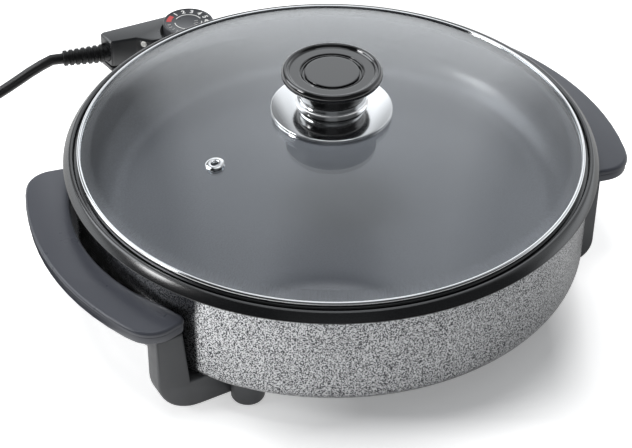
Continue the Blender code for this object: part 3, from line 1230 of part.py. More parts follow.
def smooth_route(knots, step):
    """Points about a step apart on a smooth curve through the knots, with both ends straight."""
    knots = [Vector(knot) for knot in knots]
    dense = []
    for before, start, end, after in zip(knots, knots[1:], knots[2:], knots[3:]):
        for part in range(ROUTE_PARTS):
            t = part / ROUTE_PARTS
            dense.append(0.5 * ((2 * start) + (end - before) * t
                                + (2 * before - 5 * start + 4 * end - after) * t ** 2
                                + (3 * start - before - 3 * end + after) * t ** 3))
    dense.append(knots[-2])
    along = [0.0]
    for first, second in zip(dense, dense[1:]):
        along.append(along[-1] + (second - first).length)
    count = round(along[-1] / step)
    points = [knots[0]]
    index = 1
    for at in range(count + 1):
        want = along[-1] * at / count
        while along[index] < want - WELD:
            index += 1
        blend = (want - along[index - 1]) / (along[index] - along[index - 1])
        points.append(dense[index - 1].lerp(dense[index], blend))
    return points + [knots[-1]]


def coil_points():
    """The coil's middle line: it spirals in on the lower layer, climbs, and spirals out above."""
    turns = COIL_TURNS_IN + COIL_TURNS_OUT
    count = round(turns * COIL_LOOP_STEPS)
    climb_start = COIL_TURNS_IN - COIL_CLIMB_TURNS / 2
    points = []
    for at in range(count + 1):
        turn = turns * at / count
        angle = COIL_START + 2 * math.pi * turn
        radius = COIL_INNER_R + COIL_PITCH * abs(turn - COIL_TURNS_IN)
        rise = min(1.0, max(0.0, (turn - climb_start) / COIL_CLIMB_TURNS))
        rise = rise * rise * (3 - 2 * rise)
        points.append(Vector((COIL_X + radius * math.cos(angle), COIL_Y + radius * math.sin(angle),
                              COIL_LOW_Z + COIL_LAYER_H * rise)))
    lead = 2 * CORD_R
    first = (points[0] - points[1]).normalized()
    last = (points[-1] - points[-2]).normalized()
    first.z = 0
    last.z = 0
    return [points[0] + first * lead] + points + [points[-1] + last * lead]


def coil_self_gap(points):
    """The least clear distance between two turns, measured on points along the middle line."""
    dense = []
    for first, second in zip(points, points[1:]):
        dense += [first.lerp(second, part / 4) for part in range(4)]
    far = COIL_LOOP_STEPS * 2
    least = min((dense[a] - dense[b]).length for a in range(len(dense)) for b in range(a + far, len(dense)))
    return least - 2 * CORD_R


def route_length(points):
    return sum((second - first).length for first, second in zip(points, points[1:]))


def make_cord(relief_tip):
    """The free stretch, the coil, the tail and the plug, end to end."""
    axis = "controller_axis"
    lead = 2 * CORD_R
    coil = coil_points()
    print("coil: least gap to itself %.2f mm" % (coil_self_gap(coil) / MM))
    tube("power_cord_coil", coil, CORD_R, "cord_rubber", axis, 1)
    start = relief_tip + relief_direction() * GAP
    into = (coil[1] - coil[0]).normalized()
    end = coil[0] - into * GAP
    knots = [start, start + relief_direction() * lead] + list(CORD_ROUTE) + [end - into * lead, end]
    free = smooth_route(knots, CORD_POINT_STEP)
    tube("power_cord_free", free, CORD_R, "cord_rubber", axis)
    out = (coil[-1] - coil[-2]).normalized()
    start = coil[-1] + out * GAP
    plug_back = Vector((start.x, start.y - PLUG_LEAD_L, PLUG_H / 2 + GAP))
    end = plug_back + Vector((0, GAP, 0))
    ahead = Vector((0, -lead, 0))
    knots = [start, start + out * lead, start + ahead * TAIL_LOW_SHARE + out * lead,
             end - ahead * TAIL_HIGH_SHARE,
             end - ahead, end]
    tail = smooth_route(knots, CORD_POINT_STEP / 2)
    tube("power_cord_tail", tail, CORD_R, "cord_rubber", axis)
    total = route_length(free) + route_length(coil) + route_length(tail)
    print("cord: %.0f mm in all" % (total / MM))
    make_plug(plug_back)


def make_plug(back):
    """A moulded plug lying flat, with two flat blades."""
    axis = "controller_axis"
    face_w = PLUG_W / 2
    back_w = PLUG_BACK_W / 2
    neck_w = PLUG_NECK_W / 2
    outline = rounded([(back.x - neck_w, back.y, 0), (back.x - back_w, back.y - PLUG_TAPER_L, PLUG_ROUND),
                       (back.x - face_w, back.y - PLUG_L, PLUG_ROUND),
                       (back.x + face_w, back.y - PLUG_L, PLUG_ROUND),
                       (back.x + back_w, back.y - PLUG_TAPER_L, PLUG_ROUND), (back.x + neck_w, back.y, 0)])
    plug = prism("plug_body", outline, back.z - PLUG_H / 2, back.z + PLUG_H / 2, "cord_rubber", axis)
    bevel(plug, PLUG_EDGE_R, 2)
    face_y = back.y - PLUG_L - GAP
    for name, side in (("left", -1), ("right", 1)):
        x = back.x + side * BLADE_SPACING / 2
        blade = prism("plug_blade_" + name, rounded([(x - BLADE_W / 2, face_y, 0),
                                                     (x + BLADE_W / 2, face_y, 0),
                                                     (x + BLADE_W / 2, face_y - BLADE_L, BLADE_W / 3),
                                                     (x - BLADE_W / 2, face_y - BLADE_L, BLADE_W / 3)]),
                      back.z - BLADE_H / 2, back.z + BLADE_H / 2, "nickel", axis)
        smooth(blade)


def make_paints():
    bench.paints.update({
        "nonstick": material("nonstick", "3E4043", 0.42),
        "hammertone": material("hammertone", "8F9193", 0.38, 0.55),
        "zinc_sheet": material("zinc_sheet", "A9ACAE", 0.4, 0.9),
        "aluminium": material("aluminium", "B4B7BA", 0.4, 1.0),
        "element_steel": material("element_steel", "6B665F", 0.5, 0.9),
        "steel": material("steel", "B9BABC", 0.3, 1.0),
        "polished_steel": material("polished_steel", "D8D9DA", 0.08, 1.0),
        "chrome": material("chrome", "E6E7E8", 0.06, 1.0),
        "nickel": material("nickel", "C9C6BE", 0.22, 1.0),
        "glass": material("glass", "EEF2F1", 0.02, 0.0, 1.0),
        "ceramic": material("ceramic", "E4DFD3", 0.6),
        "satin_plastic": material("satin_plastic", "2B2C2F", 0.36),
        "leg_plastic": material("leg_plastic", "2A2B2C", 0.5),
        "black_plastic": material("black_plastic", "1B1C1E", 0.45),
        "gloss_plastic": material("gloss_plastic", "0E0E0F", 0.08),
        "dial_plastic": material("dial_plastic", "1F2022", 0.3),
        "lamp_lens": material("lamp_lens", "F1EFEA", 0.12),
        "rubber": material("rubber", "1A1A1B", 0.8),
        "silicone": material("silicone", "2A2A2B", 0.6),
        "cord_rubber": material("cord_rubber", "1D1E20", 0.48),
    })


def build():
    """Builds the skillet piece by piece."""
    global bench
    clear_scene()
    bench = Bench()
    make_paints()
    add_axis("pan_axis", (0, PAN_AXIS_Y, 0))
    add_axis("lid_axis", (0, 0, LEDGE_Z), "pan_axis")
    add_axis("controller_axis", (0, GUARD_FACE_Y, PLUG_Z), "pan_axis")
    add_axis("dial_axis", (DIAL_X, DIAL_Y - GUARD_FACE_Y, DIAL_LOW_Z - PLUG_Z), "controller_axis")
    clearance = make_casing_clearance()
    make_cooking_pan()
    make_outer_casing()
    make_base_cover()
    make_heater()
    make_terminals()
    make_socket_guard(clearance)
    make_handle("left", -1, clearance)
    make_handle("right", 1, clearance)
    for name, sign_x, sign_y in quarters():
        make_leg(name, sign_x, sign_y, clearance)
    make_wall_screws()
    make_lid_glass()
    make_lid_trim()
    make_knob()
    make_upper_housing()
    make_lower_housing()
    blade_top = make_controller_inside()
    make_dial(blade_top)
    relief_tip = make_strain_relief()
    make_cord(relief_tip)


build()
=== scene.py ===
"""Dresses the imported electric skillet: smooth turned and moulded pieces, finishes, lamps and camera."""
import math

import bmesh
import bpy
from mathutils import Matrix, Vector


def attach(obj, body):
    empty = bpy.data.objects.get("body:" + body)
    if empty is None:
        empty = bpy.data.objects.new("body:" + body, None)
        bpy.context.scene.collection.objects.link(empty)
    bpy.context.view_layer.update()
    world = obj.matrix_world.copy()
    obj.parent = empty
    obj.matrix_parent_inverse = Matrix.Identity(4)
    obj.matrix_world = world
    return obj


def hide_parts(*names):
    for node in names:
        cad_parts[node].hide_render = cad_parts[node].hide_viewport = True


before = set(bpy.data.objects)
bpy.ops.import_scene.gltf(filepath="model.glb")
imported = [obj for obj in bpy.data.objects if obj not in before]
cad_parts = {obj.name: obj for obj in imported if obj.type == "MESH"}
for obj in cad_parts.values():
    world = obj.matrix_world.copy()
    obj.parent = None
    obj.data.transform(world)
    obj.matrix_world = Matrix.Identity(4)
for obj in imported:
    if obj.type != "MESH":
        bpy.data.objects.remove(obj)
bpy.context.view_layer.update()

bl_info = {
    "name": "Electric Skillet Studio",
    "version": (1, 0, 0),
    "blender": (4, 5, 0),
    "location": "View3D > Sidebar > Skillet",
    "description": "Builds the smooth pieces, finishes and stage of an electric skillet",
    "category": "Add Mesh",
}

# Places and sizes that several pieces share, in mm
MM = 0.001
PAN_Y = -21.3
PAN_SPOT = (0.0, PAN_Y)
DIAL_SPOT = (-7.6, 153.2)
FACE_Z = 76.5
NUMERAL_H = 5.0
NUMERAL_R = 12.4
STROKE = 0.16
SUNK = 0.02
CORD_R = 3.6
CASING_R = 153.5
CASING_WALL = 1.2
CASING_FOOT = 19.5
CASING_TOP = 81.9
CORNER = (145.5, 27.5)
CORNER_R = 8.0
GAP = 0.3
PAN_FLOOR = 49.5
PAN_WALL = 2.0
COVE = (123.0, 71.5)
COVE_R = 22.0
RIM_LOW = 80.5
BOW_OUT_X = 8.3
BOW_IN_X = 37.1
PLATE_LOW = 63.0
PLATE_T = 3.0
FRAME_LOW = 57.5
FRAME_T = 5.2
BOSS_X = 103.0
BOSS_Y = 86.0
LEG_TOP = 57.2
LEG_FOOT = 0.5
RUNNER_TOP = 20.4
POST_Y = 80.2
POST_W = 13.6
WIDE_POST = (155.0, 25.0, 138.8, 135.4)
NARROW_POST = (142.0, 12.0, 124.0, 124.0)
GLASS_T = 3.4
DOME_R = 521.5
DOME_TOP = 109.9
VENT_R = 80.9

# How shapes are merged and shaded
WELD = 0.03
SMOOTH_ANGLE = 40.0
BEVEL_ANGLE = 35.0
FLAT_ANGLE = 0.6

# The camera, as fitted to the picture, and the picture's directions along the floor
CAMERA_AWAY = 889.62
CAMERA_RISE = 640.31
CAMERA_SWING = -30.5
SENSOR_W = 36.0
LENS_PIXELS = 1850
PICTURE_PIXELS = 632
PICTURE_RIGHT = Vector((0.862, -0.508, 0))
PICTURE_AHEAD = Vector((0.508, 0.862, 0))


def linear(value):
    """Turns one sRGB channel into linear light."""
    return value / 12.92 if value <= 0.04045 else ((value + 0.055) / 1.055) ** 2.4


def tint(code):
    """Turns an sRGB hex code such as 8A8C90 into a linear colour."""
    return tuple(linear(int(code[at:at + 2], 16) / 255) for at in (0, 2, 4)) + (1.0,)


def colour(title, code, description):
    return bpy.props.FloatVectorProperty(name=title, description=description, subtype="COLOR", size=4,
                                         min=0.0, max=1.0, default=tint(code))


def length(title, millimetres, description):
    return bpy.props.FloatProperty(name=title, description=description, subtype="DISTANCE", unit="LENGTH",
                                   min=0.0, default=millimetres * MM)


class SkilletColours(bpy.types.PropertyGroup):
    """The colours that a user would change."""
    enamel: colour("Hammered enamel", "B8B9BA", "Light colour of the casing's hammered enamel")
    enamel_dark: colour("Enamel veins", "38393C", "Dark colour of the veins in the hammered enamel")
    # Painted light: the coating inside the pan is a lighter copy of the same dark coating on the rim.
    coating: colour("Non-stick coating", "585B61", "Colour of the pan's coating")
    rim: colour("Pan rim", "121314", "Colour of the pan's rim outside the lid")
    handle: colour("Handle plastic", "43454C", "Colour of the handles")
    leg: colour("Leg plastic", "4B4C4E", "Colour of the legs")
    knob: colour("Knob plastic", "0E0E0F", "Colour of the knob's grip")
    glass: colour("Lid glass", "F5F7F9", "Tint of the lid's glass")
    bright: colour("Bright steel", "E9EAEB", "Colour of the band, the disc and the collar")
    housing: colour("Controller plastic", "1C1D1F", "Colour of the controller's housing")
    cord: colour("Cord", "0E0E0F", "Colour of the cord's sheath")
    print_white: colour("Dial print", "E8E8E6", "Colour of the dial's numbers and marks")
    print_red: colour("Dial sector", "C24A4A", "Colour of the dial's warm sector")


class SkilletSizes(bpy.types.PropertyGroup):
    """The sizes that a user would change."""
    hammer_grain: length("Hammer grain", 0.75, "Width of one cell of the hammered enamel")
    coating_grain: length("Coating grain", 0.9, "Width of one fleck of the non-stick coating")
    handle_edge: length("Handle edge", 2.0, "Radius of the handle plate's upper edge")
    leg_edge: length("Leg edge", 1.6, "Radius of the legs' edges")
    housing_edge: length("Housing edge", 1.1, "Radius of the controller housing's edges")
    print_height: length("Print height", 0.12, "How far the dial's print stands proud")


# Making shapes


def deselect():
    bpy.ops.object.select_all(action="DESELECT")


def take(piece):
    """Makes one piece the only one selected, and active."""
    deselect()
    piece.select_set(True)
    bpy.context.view_layer.objects.active = piece


def settle(piece, smooth=SMOOTH_ANGLE):
    """Puts the piece's place in its mesh and shades it by angle."""
    take(piece)
    bpy.ops.object.transform_apply(location=True, rotation=True, scale=True)
    bpy.ops.object.shade_smooth_by_angle(angle=math.radians(smooth))
    return piece


def aimed(piece, direction, spot):
    """Turns an upright piece to a direction, moves it to a spot in metres and settles it."""
    piece.rotation_mode = "QUATERNION"
    piece.rotation_quaternion = Vector((0, 0, 1)).rotation_difference(direction)
    piece.location = spot
    return settle(piece)


def named(name):
    """Names the object that an operator has just added."""
    piece = bpy.context.object
    piece.name = name
    piece.data.name = name
    return piece


def everything():
    """Selects the whole edit mesh."""
    bpy.ops.mesh.select_all(action="SELECT")


def pick_edges(test):
    """Selects the edit mesh's edges that pass a test on both ends."""
    bpy.ops.mesh.select_all(action="DESELECT")
    bpy.ops.mesh.select_mode(type="EDGE")
    mesh = bmesh.from_edit_mesh(bpy.context.object.data)
    for edge in mesh.edges:
        edge.select_set(test(edge.verts[0].co, edge.verts[1].co))
    bmesh.update_edit_mesh(bpy.context.object.data)


def weld():
    """Merges the edit mesh's double vertices, turns its faces outward and leaves edit mode."""
    bpy.ops.mesh.select_mode(type="VERT")
    everything()
    bpy.ops.mesh.remove_doubles(threshold=WELD * MM)
    everything()
    bpy.ops.mesh.normals_make_consistent(inside=False)
    bpy.ops.object.mode_set(mode="OBJECT")


def turned(name, rings, spot=PAN_SPOT, steps=192, closed=True, smooth=SMOOTH_ANGLE):
    """Turns a profile of (radius, height) in mm: a circle is extruded and resized ring by ring."""
    center = Vector((spot[0] * MM, spot[1] * MM, 0))
    start, rest = rings[0], rings[1:]
    bpy.ops.mesh.primitive_circle_add(vertices=steps, radius=max(start[0], 0.01) * MM,
                                      location=center + Vector((0, 0, start[1] * MM)))
    piece = named(name)
    bpy.ops.object.transform_apply(location=True, rotation=True, scale=True)
    bpy.ops.object.mode_set(mode="EDIT")
    everything()
    now = start
    for ring in rest:
        rise = (ring[1] - now[1]) * MM
        bpy.ops.mesh.extrude_region_move(TRANSFORM_OT_translate={"value": (0, 0, rise)})
        share = max(ring[0], 0.01) / max(now[0], 0.01)
        bpy.ops.transform.resize(value=(share, share, 1), center_override=center)
        now = ring
    if closed:
        bpy.ops.mesh.select_all(action="DESELECT")
        bpy.ops.mesh.select_mode(type="EDGE")
        bpy.ops.mesh.select_non_manifold(extend=False, use_wire=False, use_multi_face=False,
                                         use_non_contiguous=False, use_verts=False)
        bpy.ops.mesh.bridge_edge_loops()
    weld()
    return settle(piece, smooth)


def above(height, rings):
    """A profile's rings, raised by a height in mm."""
    return [(radius, height + rise) for radius, rise in rings]


def bend(center, radius, start, end, count):
    """Points on an arc of a profile or an outline, in mm and degrees."""
    points = []
    for step in range(count + 1):
        angle = math.radians(start + (end - start) * step / count)
        points.append((center[0] + radius * math.cos(angle), center[1] + radius * math.sin(angle)))
    return points


def moulded(name, outline, rise, edge=0.0, segments=3, edges=None):
    """Draws an outline of points in mm by extruding a vertex along it, and extrudes its face.

    The edges that pass the test edges, or else those round both faces, get a bevel edge metres wide.
    """
    outline = [Vector(point) * MM for point in outline]
    rise = Vector(rise)
    bpy.ops.mesh.primitive_plane_add(size=MM, location=(0, 0, 0))
    piece = named(name)
    bpy.ops.object.mode_set(mode="EDIT")
    bpy.ops.mesh.select_mode(type="VERT")
    everything()
    bpy.ops.mesh.merge(type="CENTER")
    everything()
    bpy.ops.transform.translate(value=outline[0])
    for first, second in zip(outline, outline[1:]):
        bpy.ops.mesh.extrude_vertices_move(TRANSFORM_OT_translate={"value": second - first})
    everything()
    bpy.ops.mesh.edge_face_add()
    bpy.ops.mesh.extrude_region_move(TRANSFORM_OT_translate={"value": rise * MM})
    everything()
    bpy.ops.mesh.normals_make_consistent(inside=False)
    if edge > 0:
        span = rise.length_squared * MM
        pick_edges(edges or (lambda a, b: abs(a.dot(rise) - b.dot(rise)) < span * 0.01))
        bpy.ops.mesh.bevel(offset=edge, segments=segments, affect="EDGES", clamp_overlap=True)
    weld()
    return settle(piece)


def carve(piece, tool):
    """Cuts with a tool piece, which is then thrown away."""
    take(piece)
    cut = piece.modifiers.new("cut", "BOOLEAN")
    cut.operation = "DIFFERENCE"
    cut.solver = "EXACT"
    cut.use_self = True
    cut.use_hole_tolerant = True
    cut.object = tool
    bpy.ops.object.modifier_apply(modifier="cut")
    bpy.data.objects.remove(tool)
    bpy.ops.object.shade_smooth_by_angle(angle=math.radians(SMOOTH_ANGLE))


def joined(name, pieces):
    """Joins closed pieces that run into each other into one object."""
    deselect()
    for piece in pieces:
        piece.select_set(True)
    bpy.context.view_layer.objects.active = pieces[0]
    bpy.ops.object.join()
    return named(name)


def refined(name, node, width, segments):
    """Copies a CAD node, merges its loose triangles, clears its flat faces and rounds its edges."""
    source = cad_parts[node]
    piece = source.copy()
    piece.data = source.data.copy()
    bpy.context.scene.collection.objects.link(piece)
    piece.name = name
    piece.data.name = name
    take(piece)
    bpy.ops.object.mode_set(mode="EDIT")
    everything()
    bpy.ops.mesh.remove_doubles(threshold=0.01 * MM)
    everything()
    bpy.ops.mesh.dissolve_limited(angle_limit=math.radians(FLAT_ANGLE))
    bpy.ops.object.mode_set(mode="OBJECT")
    edge = piece.modifiers.new("edge", "BEVEL")
    edge.width = width
    edge.segments = segments
    edge.limit_method = "ANGLE"
    edge.angle_limit = math.radians(BEVEL_ANGLE)
    bpy.ops.object.modifier_apply(modifier="edge")
    bpy.ops.object.shade_smooth_by_angle(angle=math.radians(SMOOTH_ANGLE))
    return settle(piece)


def drill(start, end, radius):
    """A round tool between two points in mm."""
    start, end = Vector(start) * MM, Vector(end) * MM
    bpy.ops.mesh.primitive_cylinder_add(vertices=32, radius=radius * MM, depth=(end - start).length)
    piece = named("drill")
    bpy.ops.object.mode_set(mode="EDIT")
    pick_edges(lambda a, b: abs(a.z - b.z) < 1e-6)
    bpy.ops.mesh.bevel(offset=0.01 * MM, segments=2, affect="EDGES")
    bpy.ops.object.mode_set(mode="OBJECT")
    return aimed(piece, end - start, (start + end) / 2)


def place(piece, body, look, nodes=(), slot=None):
    """Gives a piece its finish, by the finish's short name, its body and the CAD nodes it stands for."""
    piece.data.materials.clear()
    piece.data.materials.append(surface(look))
    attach(piece, body)
    if nodes:
        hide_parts(*nodes)
    return piece


# Finishes


def add(tree, kind, sockets=None, **settings):
    """Adds one shader node: settings are its properties, and a socket takes a value or another's output."""
    made = tree.nodes.new("ShaderNode" + kind)
    for key, value in settings.items():
        setattr(made, key, value)
    for key, value in (sockets or {}).items():
        if isinstance(value, bpy.types.NodeSocket):
            tree.links.new(value, made.inputs[key])
        else:
            made.inputs[key].default_value = value
    return made


def reckon(tree, operation, *values):
    """The result of a Math node."""
    return add(tree, "Math", dict(enumerate(values)), operation=operation).outputs["Value"]


def vectors(tree, operation, *values):
    """The outputs of a Vector Math node."""
    return add(tree, "VectorMath", dict(enumerate(values)), operation=operation).outputs


def spread(tree, value, low, high, first=0.0, last=1.0, smooth=False):
    """A value from low to high, mapped onto first to last and held at both ends."""
    return add(tree, "MapRange",
               {"Value": value, "From Min": low, "From Max": high, "To Min": first, "To Max": last},
               interpolation_type="SMOOTHSTEP" if smooth else "LINEAR").outputs["Result"]


def noise(tree, spot, cell, detail):
    """The outputs of a noise texture with cells about so wide, in metres."""
    return add(tree, "TexNoise", {"Vector": spot, "Scale": 1.0 / cell, "Detail": detail}).outputs


def finish(name, sockets):
    """Starts a Principled material and gives it with its tree, its shader and Object coordinates."""
    made = bpy.data.materials.new(name)
    made.use_nodes = True
    tree = made.node_tree
    tree.nodes.clear()
    shader = add(tree, "BsdfPrincipled", sockets)
    add(tree, "OutputMaterial", {"Surface": shader.outputs["BSDF"]}).name = "out"
    return made, tree, shader, add(tree, "TexCoord").outputs["Object"]


def resurface(tree, shader):
    """Puts another shader on a material's output."""
    tree.links.new(shader, tree.nodes["out"].inputs["Surface"])


def paint(tree, shader, pattern, low, high, first, second):
    """Colours a shader from one colour to another over a part of a pattern's range."""
    ramp = add(tree, "ValToRGB", {"Fac": pattern})
    for stop, place, shade in zip(ramp.color_ramp.elements, (low, high), (first, second)):
        stop.position = place
        stop.color = shade
    tree.links.new(ramp.outputs["Color"], shader.inputs["Base Color"])


def emboss(tree, shader, pattern, strength, depth):
    """Tips a shader's normals by a pattern's height, with its depth in mm."""
    bump = add(tree, "Bump", {"Height": pattern, "Strength": strength, "Distance": depth * MM})
    tree.links.new(bump.outputs["Normal"], shader.inputs["Normal"])


def wear(tree, shader, pattern, roughness, least, most):
    """Lets a shader's roughness follow a pattern between two shares of its value."""
    worn = spread(tree, pattern, 0.3, 0.7, roughness * least, roughness * most)
    tree.links.new(worn, shader.inputs["Roughness"])


def hammered_enamel(name):
    """Sprayed hammer-finish enamel: silver cells with dark veins between them, and a low gloss."""
    colours = bpy.context.scene.skillet_colours
    grain = bpy.context.scene.skillet_sizes.hammer_grain
    made, tree, shader, spot = finish(name, {"Metallic": 0.95, "Roughness": 0.14})
    shift = add(tree, "VectorMath", {0: noise(tree, spot, grain / 0.9, 1.0)["Color"],
                                               "Scale": grain * 1.6}, operation="SCALE")
    moved = vectors(tree, "ADD", spot, shift.outputs["Vector"])["Vector"]
    cells = noise(tree, moved, grain, 1.0)["Fac"]
    paint(tree, shader, cells, 0.44, 0.54, colours.enamel_dark, colours.enamel)
    emboss(tree, shader, cells, 0.7, 0.09)
    return made


def nonstick_coating(name, base, roughness):
    """Sprayed PTFE coating: dark charcoal, satin, with fine mineral flecks."""
    made, tree, shader, spot = finish(name, {"Roughness": roughness, "Specular IOR Level": 1.0})
    flecks = noise(tree, spot, bpy.context.scene.skillet_sizes.coating_grain, 2.0)["Fac"]
    darker, lighter = (tuple(min(1.0, part * share) for part in base[:3]) + (1.0,) for share in (0.8, 1.25))
    paint(tree, shader, flecks, 0.35, 0.68, darker, lighter)
    emboss(tree, shader, flecks, 0.25, 0.03)
    return made


def moulded_plastic(name, base, roughness, depth=0.06, grain=0.35, shine=0.5, lacquer=0.0):
    """Moulded phenolic, nylon or rubber: one colour with a faint orange peel from the tool."""
    made, tree, shader, spot = finish(name, {"Base Color": base, "Roughness": roughness,
                                             "Specular IOR Level": shine, "Coat Weight": lacquer})
    wear(tree, shader, noise(tree, spot, 14 * MM, 3.0)["Fac"], roughness, 0.9, 1.12)
    emboss(tree, shader, noise(tree, spot, grain * MM, 2.0)["Fac"], 0.3, depth)
    return made


def bright_metal(name, base, roughness, turned_about=None):
    """Pressed or turned metal: bright, with a fine grain or with the rings that polishing leaves."""
    made, tree, shader, spot = finish(name, {"Base Color": base, "Roughness": roughness, "Metallic": 1.0})
    if turned_about is None:
        pattern = noise(tree, spot, 0.5 * MM, 3.0)["Fac"]
    else:
        apart = add(tree, "SeparateXYZ", {"Vector": spot}).outputs
        flat = add(tree, "CombineXYZ", {axis: reckon(tree, "SUBTRACT", apart[axis], middle * MM)
                                                  for axis, middle in zip("XY", turned_about)})
        reach = vectors(tree, "LENGTH", flat.outputs["Vector"])["Value"]
        pattern = add(tree, "TexNoise", {"W": reach, "Scale": 1.0 / (0.4 * MM), "Detail": 2.0},
                      noise_dimensions="1D").outputs["Fac"]
    wear(tree, shader, pattern, roughness, 0.7, 1.4)
    return made


def tempered_glass(name):
    """Pressed tempered glass: clear, smooth, and open to the light that falls into the pan."""
    made, tree, shader, _ = finish(name, {"Base Color": bpy.context.scene.skillet_colours.glass,
                                          "Roughness": 0.0, "IOR": 1.5, "Transmission Weight": 1.0})
    # The shadow of clear glass is faint, so rays on their way to a lamp pass it with a small loss.
    rays = add(tree, "LightPath").outputs
    clear = add(tree, "BsdfTransparent", {"Color": (0.88, 0.88, 0.88, 1)})
    both = add(tree, "MixShader", {
        "Fac": reckon(tree, "MAXIMUM", rays["Is Shadow Ray"], rays["Is Diffuse Ray"]),
        1: shader.outputs["BSDF"], 2: clear.outputs["BSDF"]})
    resurface(tree, both.outputs["Shader"])
    return made


def sheet_zinc(name):
    """Zinc-plated sheet: dull silver with faint cloudy spangle."""
    made, tree, shader, spot = finish(name, {"Metallic": 1.0, "Roughness": 0.42})
    spangle = add(tree, "TexVoronoi", {"Vector": spot, "Scale": 1.0 / (9 * MM)})
    paint(tree, shader, spangle.outputs["Color"], 0.2, 0.9, tint("96999B"), tint("B5B8BA"))
    return made


def fired_ceramic(name):
    """Steatite ceramic: off-white, matt, slightly grainy."""
    made, tree, shader, spot = finish(name, {"Roughness": 0.65})
    paint(tree, shader, noise(tree, spot, 0.8 * MM, 3.0)["Fac"], 0.3, 0.7, tint("D6D0C2"), tint("EAE5DA"))
    return made


def surface(short):
    """A finish by its short name, made when it is first wanted."""
    colours = bpy.context.scene.skillet_colours
    name, make, *values = {
        "enamel": ("hammered_enamel", hammered_enamel),
        # The inside's coating is the rim's dark coating made lighter: painted light.
        "coating": ("nonstick_coating", nonstick_coating, colours.coating, 0.33),
        "rim": ("rim_enamel", nonstick_coating, colours.rim, 0.2),
        "handle": ("satin_phenolic", moulded_plastic, colours.handle, 0.3),
        "housing": ("satin_nylon", moulded_plastic, colours.housing, 0.3, 0.06, 0.35, 0.85),
        "leg": ("matt_nylon", moulded_plastic, colours.leg, 0.5, 0.08),
        "knob": ("gloss_phenolic", moulded_plastic, colours.knob, 0.06, 0.01, 1.5, 1.0, 0.25),
        "guard": ("black_phenolic", moulded_plastic, tint("17181A"), 0.5),
        "dial": ("dial_phenolic", moulded_plastic, tint("3A3B3E"), 0.3, 0.03),
        "bright": ("bright_steel", bright_metal, colours.bright, 0.07, PAN_SPOT),
        "turned": ("turned_steel", bright_metal, colours.bright, 0.11, PAN_SPOT),
        "steel": ("plain_steel", bright_metal, tint("B4B5B7"), 0.3),
        "nickel": ("nickel_plate", bright_metal, tint("C9C6BE"), 0.22),
        "aluminium": ("rolled_aluminium", bright_metal, tint("B7BABD"), 0.38, PAN_SPOT),
        "sheath": ("heated_sheath", bright_metal, tint("6E6862"), 0.5),
        "glass": ("tempered_glass", tempered_glass),
        "zinc": ("plated_sheet", sheet_zinc),
        "ceramic": ("fired_ceramic", fired_ceramic),
        "rubber": ("foot_rubber", moulded_plastic, tint("1A1A1B"), 0.8, 0.12),
        "silicone": ("seal_silicone", moulded_plastic, tint("2B2B2C"), 0.6),
        "cord": ("cord_sheath", moulded_plastic, colours.cord, 0.4, 0.02, 0.5),
        "lamp": ("pilot_lens", moulded_plastic, tint("F7F5F0"), 0.12, 0.0, 2.0),
        "white": ("white_print", moulded_plastic, colours.print_white, 0.5, 0.0, 1.0),
        "red": ("red_print", moulded_plastic, colours.print_red, 0.5, 0.0, 1.0),
    }[short]
    return bpy.data.materials.get(name) or make(name, *values)


# The cord's route

ROUTE = ((-94.6, 203.6, 56.4), (-102.0, 206.6, 53.2), (-109.4, 209.0, 48.4), (-117.6, 212.6, 42.0),
         (-127.6, 217.2, 34.4), (-142.0, 223.4, 24.4), (-160.0, 229.0, 14.0), (-180.0, 232.2, 6.6),
         (-198.0, 232.6, 4.2))
RELIEF_SPOT = Vector((-60.1, 193.4, 58.0))
RELIEF_AIM = Vector((math.cos(math.radians(164.6)), math.sin(math.radians(164.6)), 0))
COIL_SPOT = Vector((-217.0, 186.0))


def flowing(knots, step):
    """Points about a step apart on a smooth curve through the knots, with both ends straight."""
    dense = []
    for before, start, end, after in zip(knots, knots[1:], knots[2:], knots[3:]):
        for part in range(24):
            t = part / 24
            dense.append(0.5 * ((2 * start) + (end - before) * t
                                + (2 * before - 5 * start + 4 * end - after) * t ** 2
                                + (3 * start - before - 3 * end + after) * t ** 3))
    dense.append(knots[-2])
    along = [0.0]
    for first, second in zip(dense, dense[1:]):
        along.append(along[-1] + (second - first).length)
    count = round(along[-1] / step)
    points = [knots[0]]
    index = 1
    for at in range(count + 1):
        want = along[-1] * at / count
        while along[index] < want - 1e-6:
            index += 1
        blend = (want - along[index - 1]) / (along[index] - along[index - 1])
        points.append(dense[index - 1].lerp(dense[index], blend))
    return points + [knots[-1]]


def cord_points():
    """The cord's middle line from the relief to the plug, in mm in the pan's frame."""
    lead = 2 * CORD_R
    turns = 4.25
    count = round(turns * 36)
    coil = []
    for at in range(count + 1):
        turn = turns * at / count
        angle = math.radians(88) + 2 * math.pi * turn
        radius = 38.4 - 7.9 * turns / 4 + 7.9 * abs(turn - 2.25)
        rise = min(1.0, max(0.0, (turn - 2.0) / 0.5))
        rise = rise * rise * (3 - 2 * rise)
        coil.append(Vector((COIL_SPOT.x + radius * math.cos(angle), COIL_SPOT.y + radius * math.sin(angle),
                            3.9 + 7.9 * rise)))
    first = (coil[0] - coil[1]).normalized()
    last = (coil[-1] - coil[-2]).normalized()
    first.z = last.z = 0
    coil = [coil[0] + first * lead] + coil + [coil[-1] + last * lead]
    tip = RELIEF_SPOT + RELIEF_AIM * 28.3
    end = coil[0]
    knots = [tip, tip + RELIEF_AIM * lead] + [Vector(spot) for spot in ROUTE] + [end + first * lead, end]
    free = flowing(knots, 9.0)
    start = coil[-1]
    back = Vector((start.x, start.y - 62.3, 8.8))
    ahead = Vector((0, -lead, 0))
    knots = [start, start + last * lead, start + ahead * 2.5 + last * lead, back - ahead * 2.5,
             back - ahead, back]
    tail = flowing(knots, 7.5)
    return free[:-1] + coil + tail[1:]


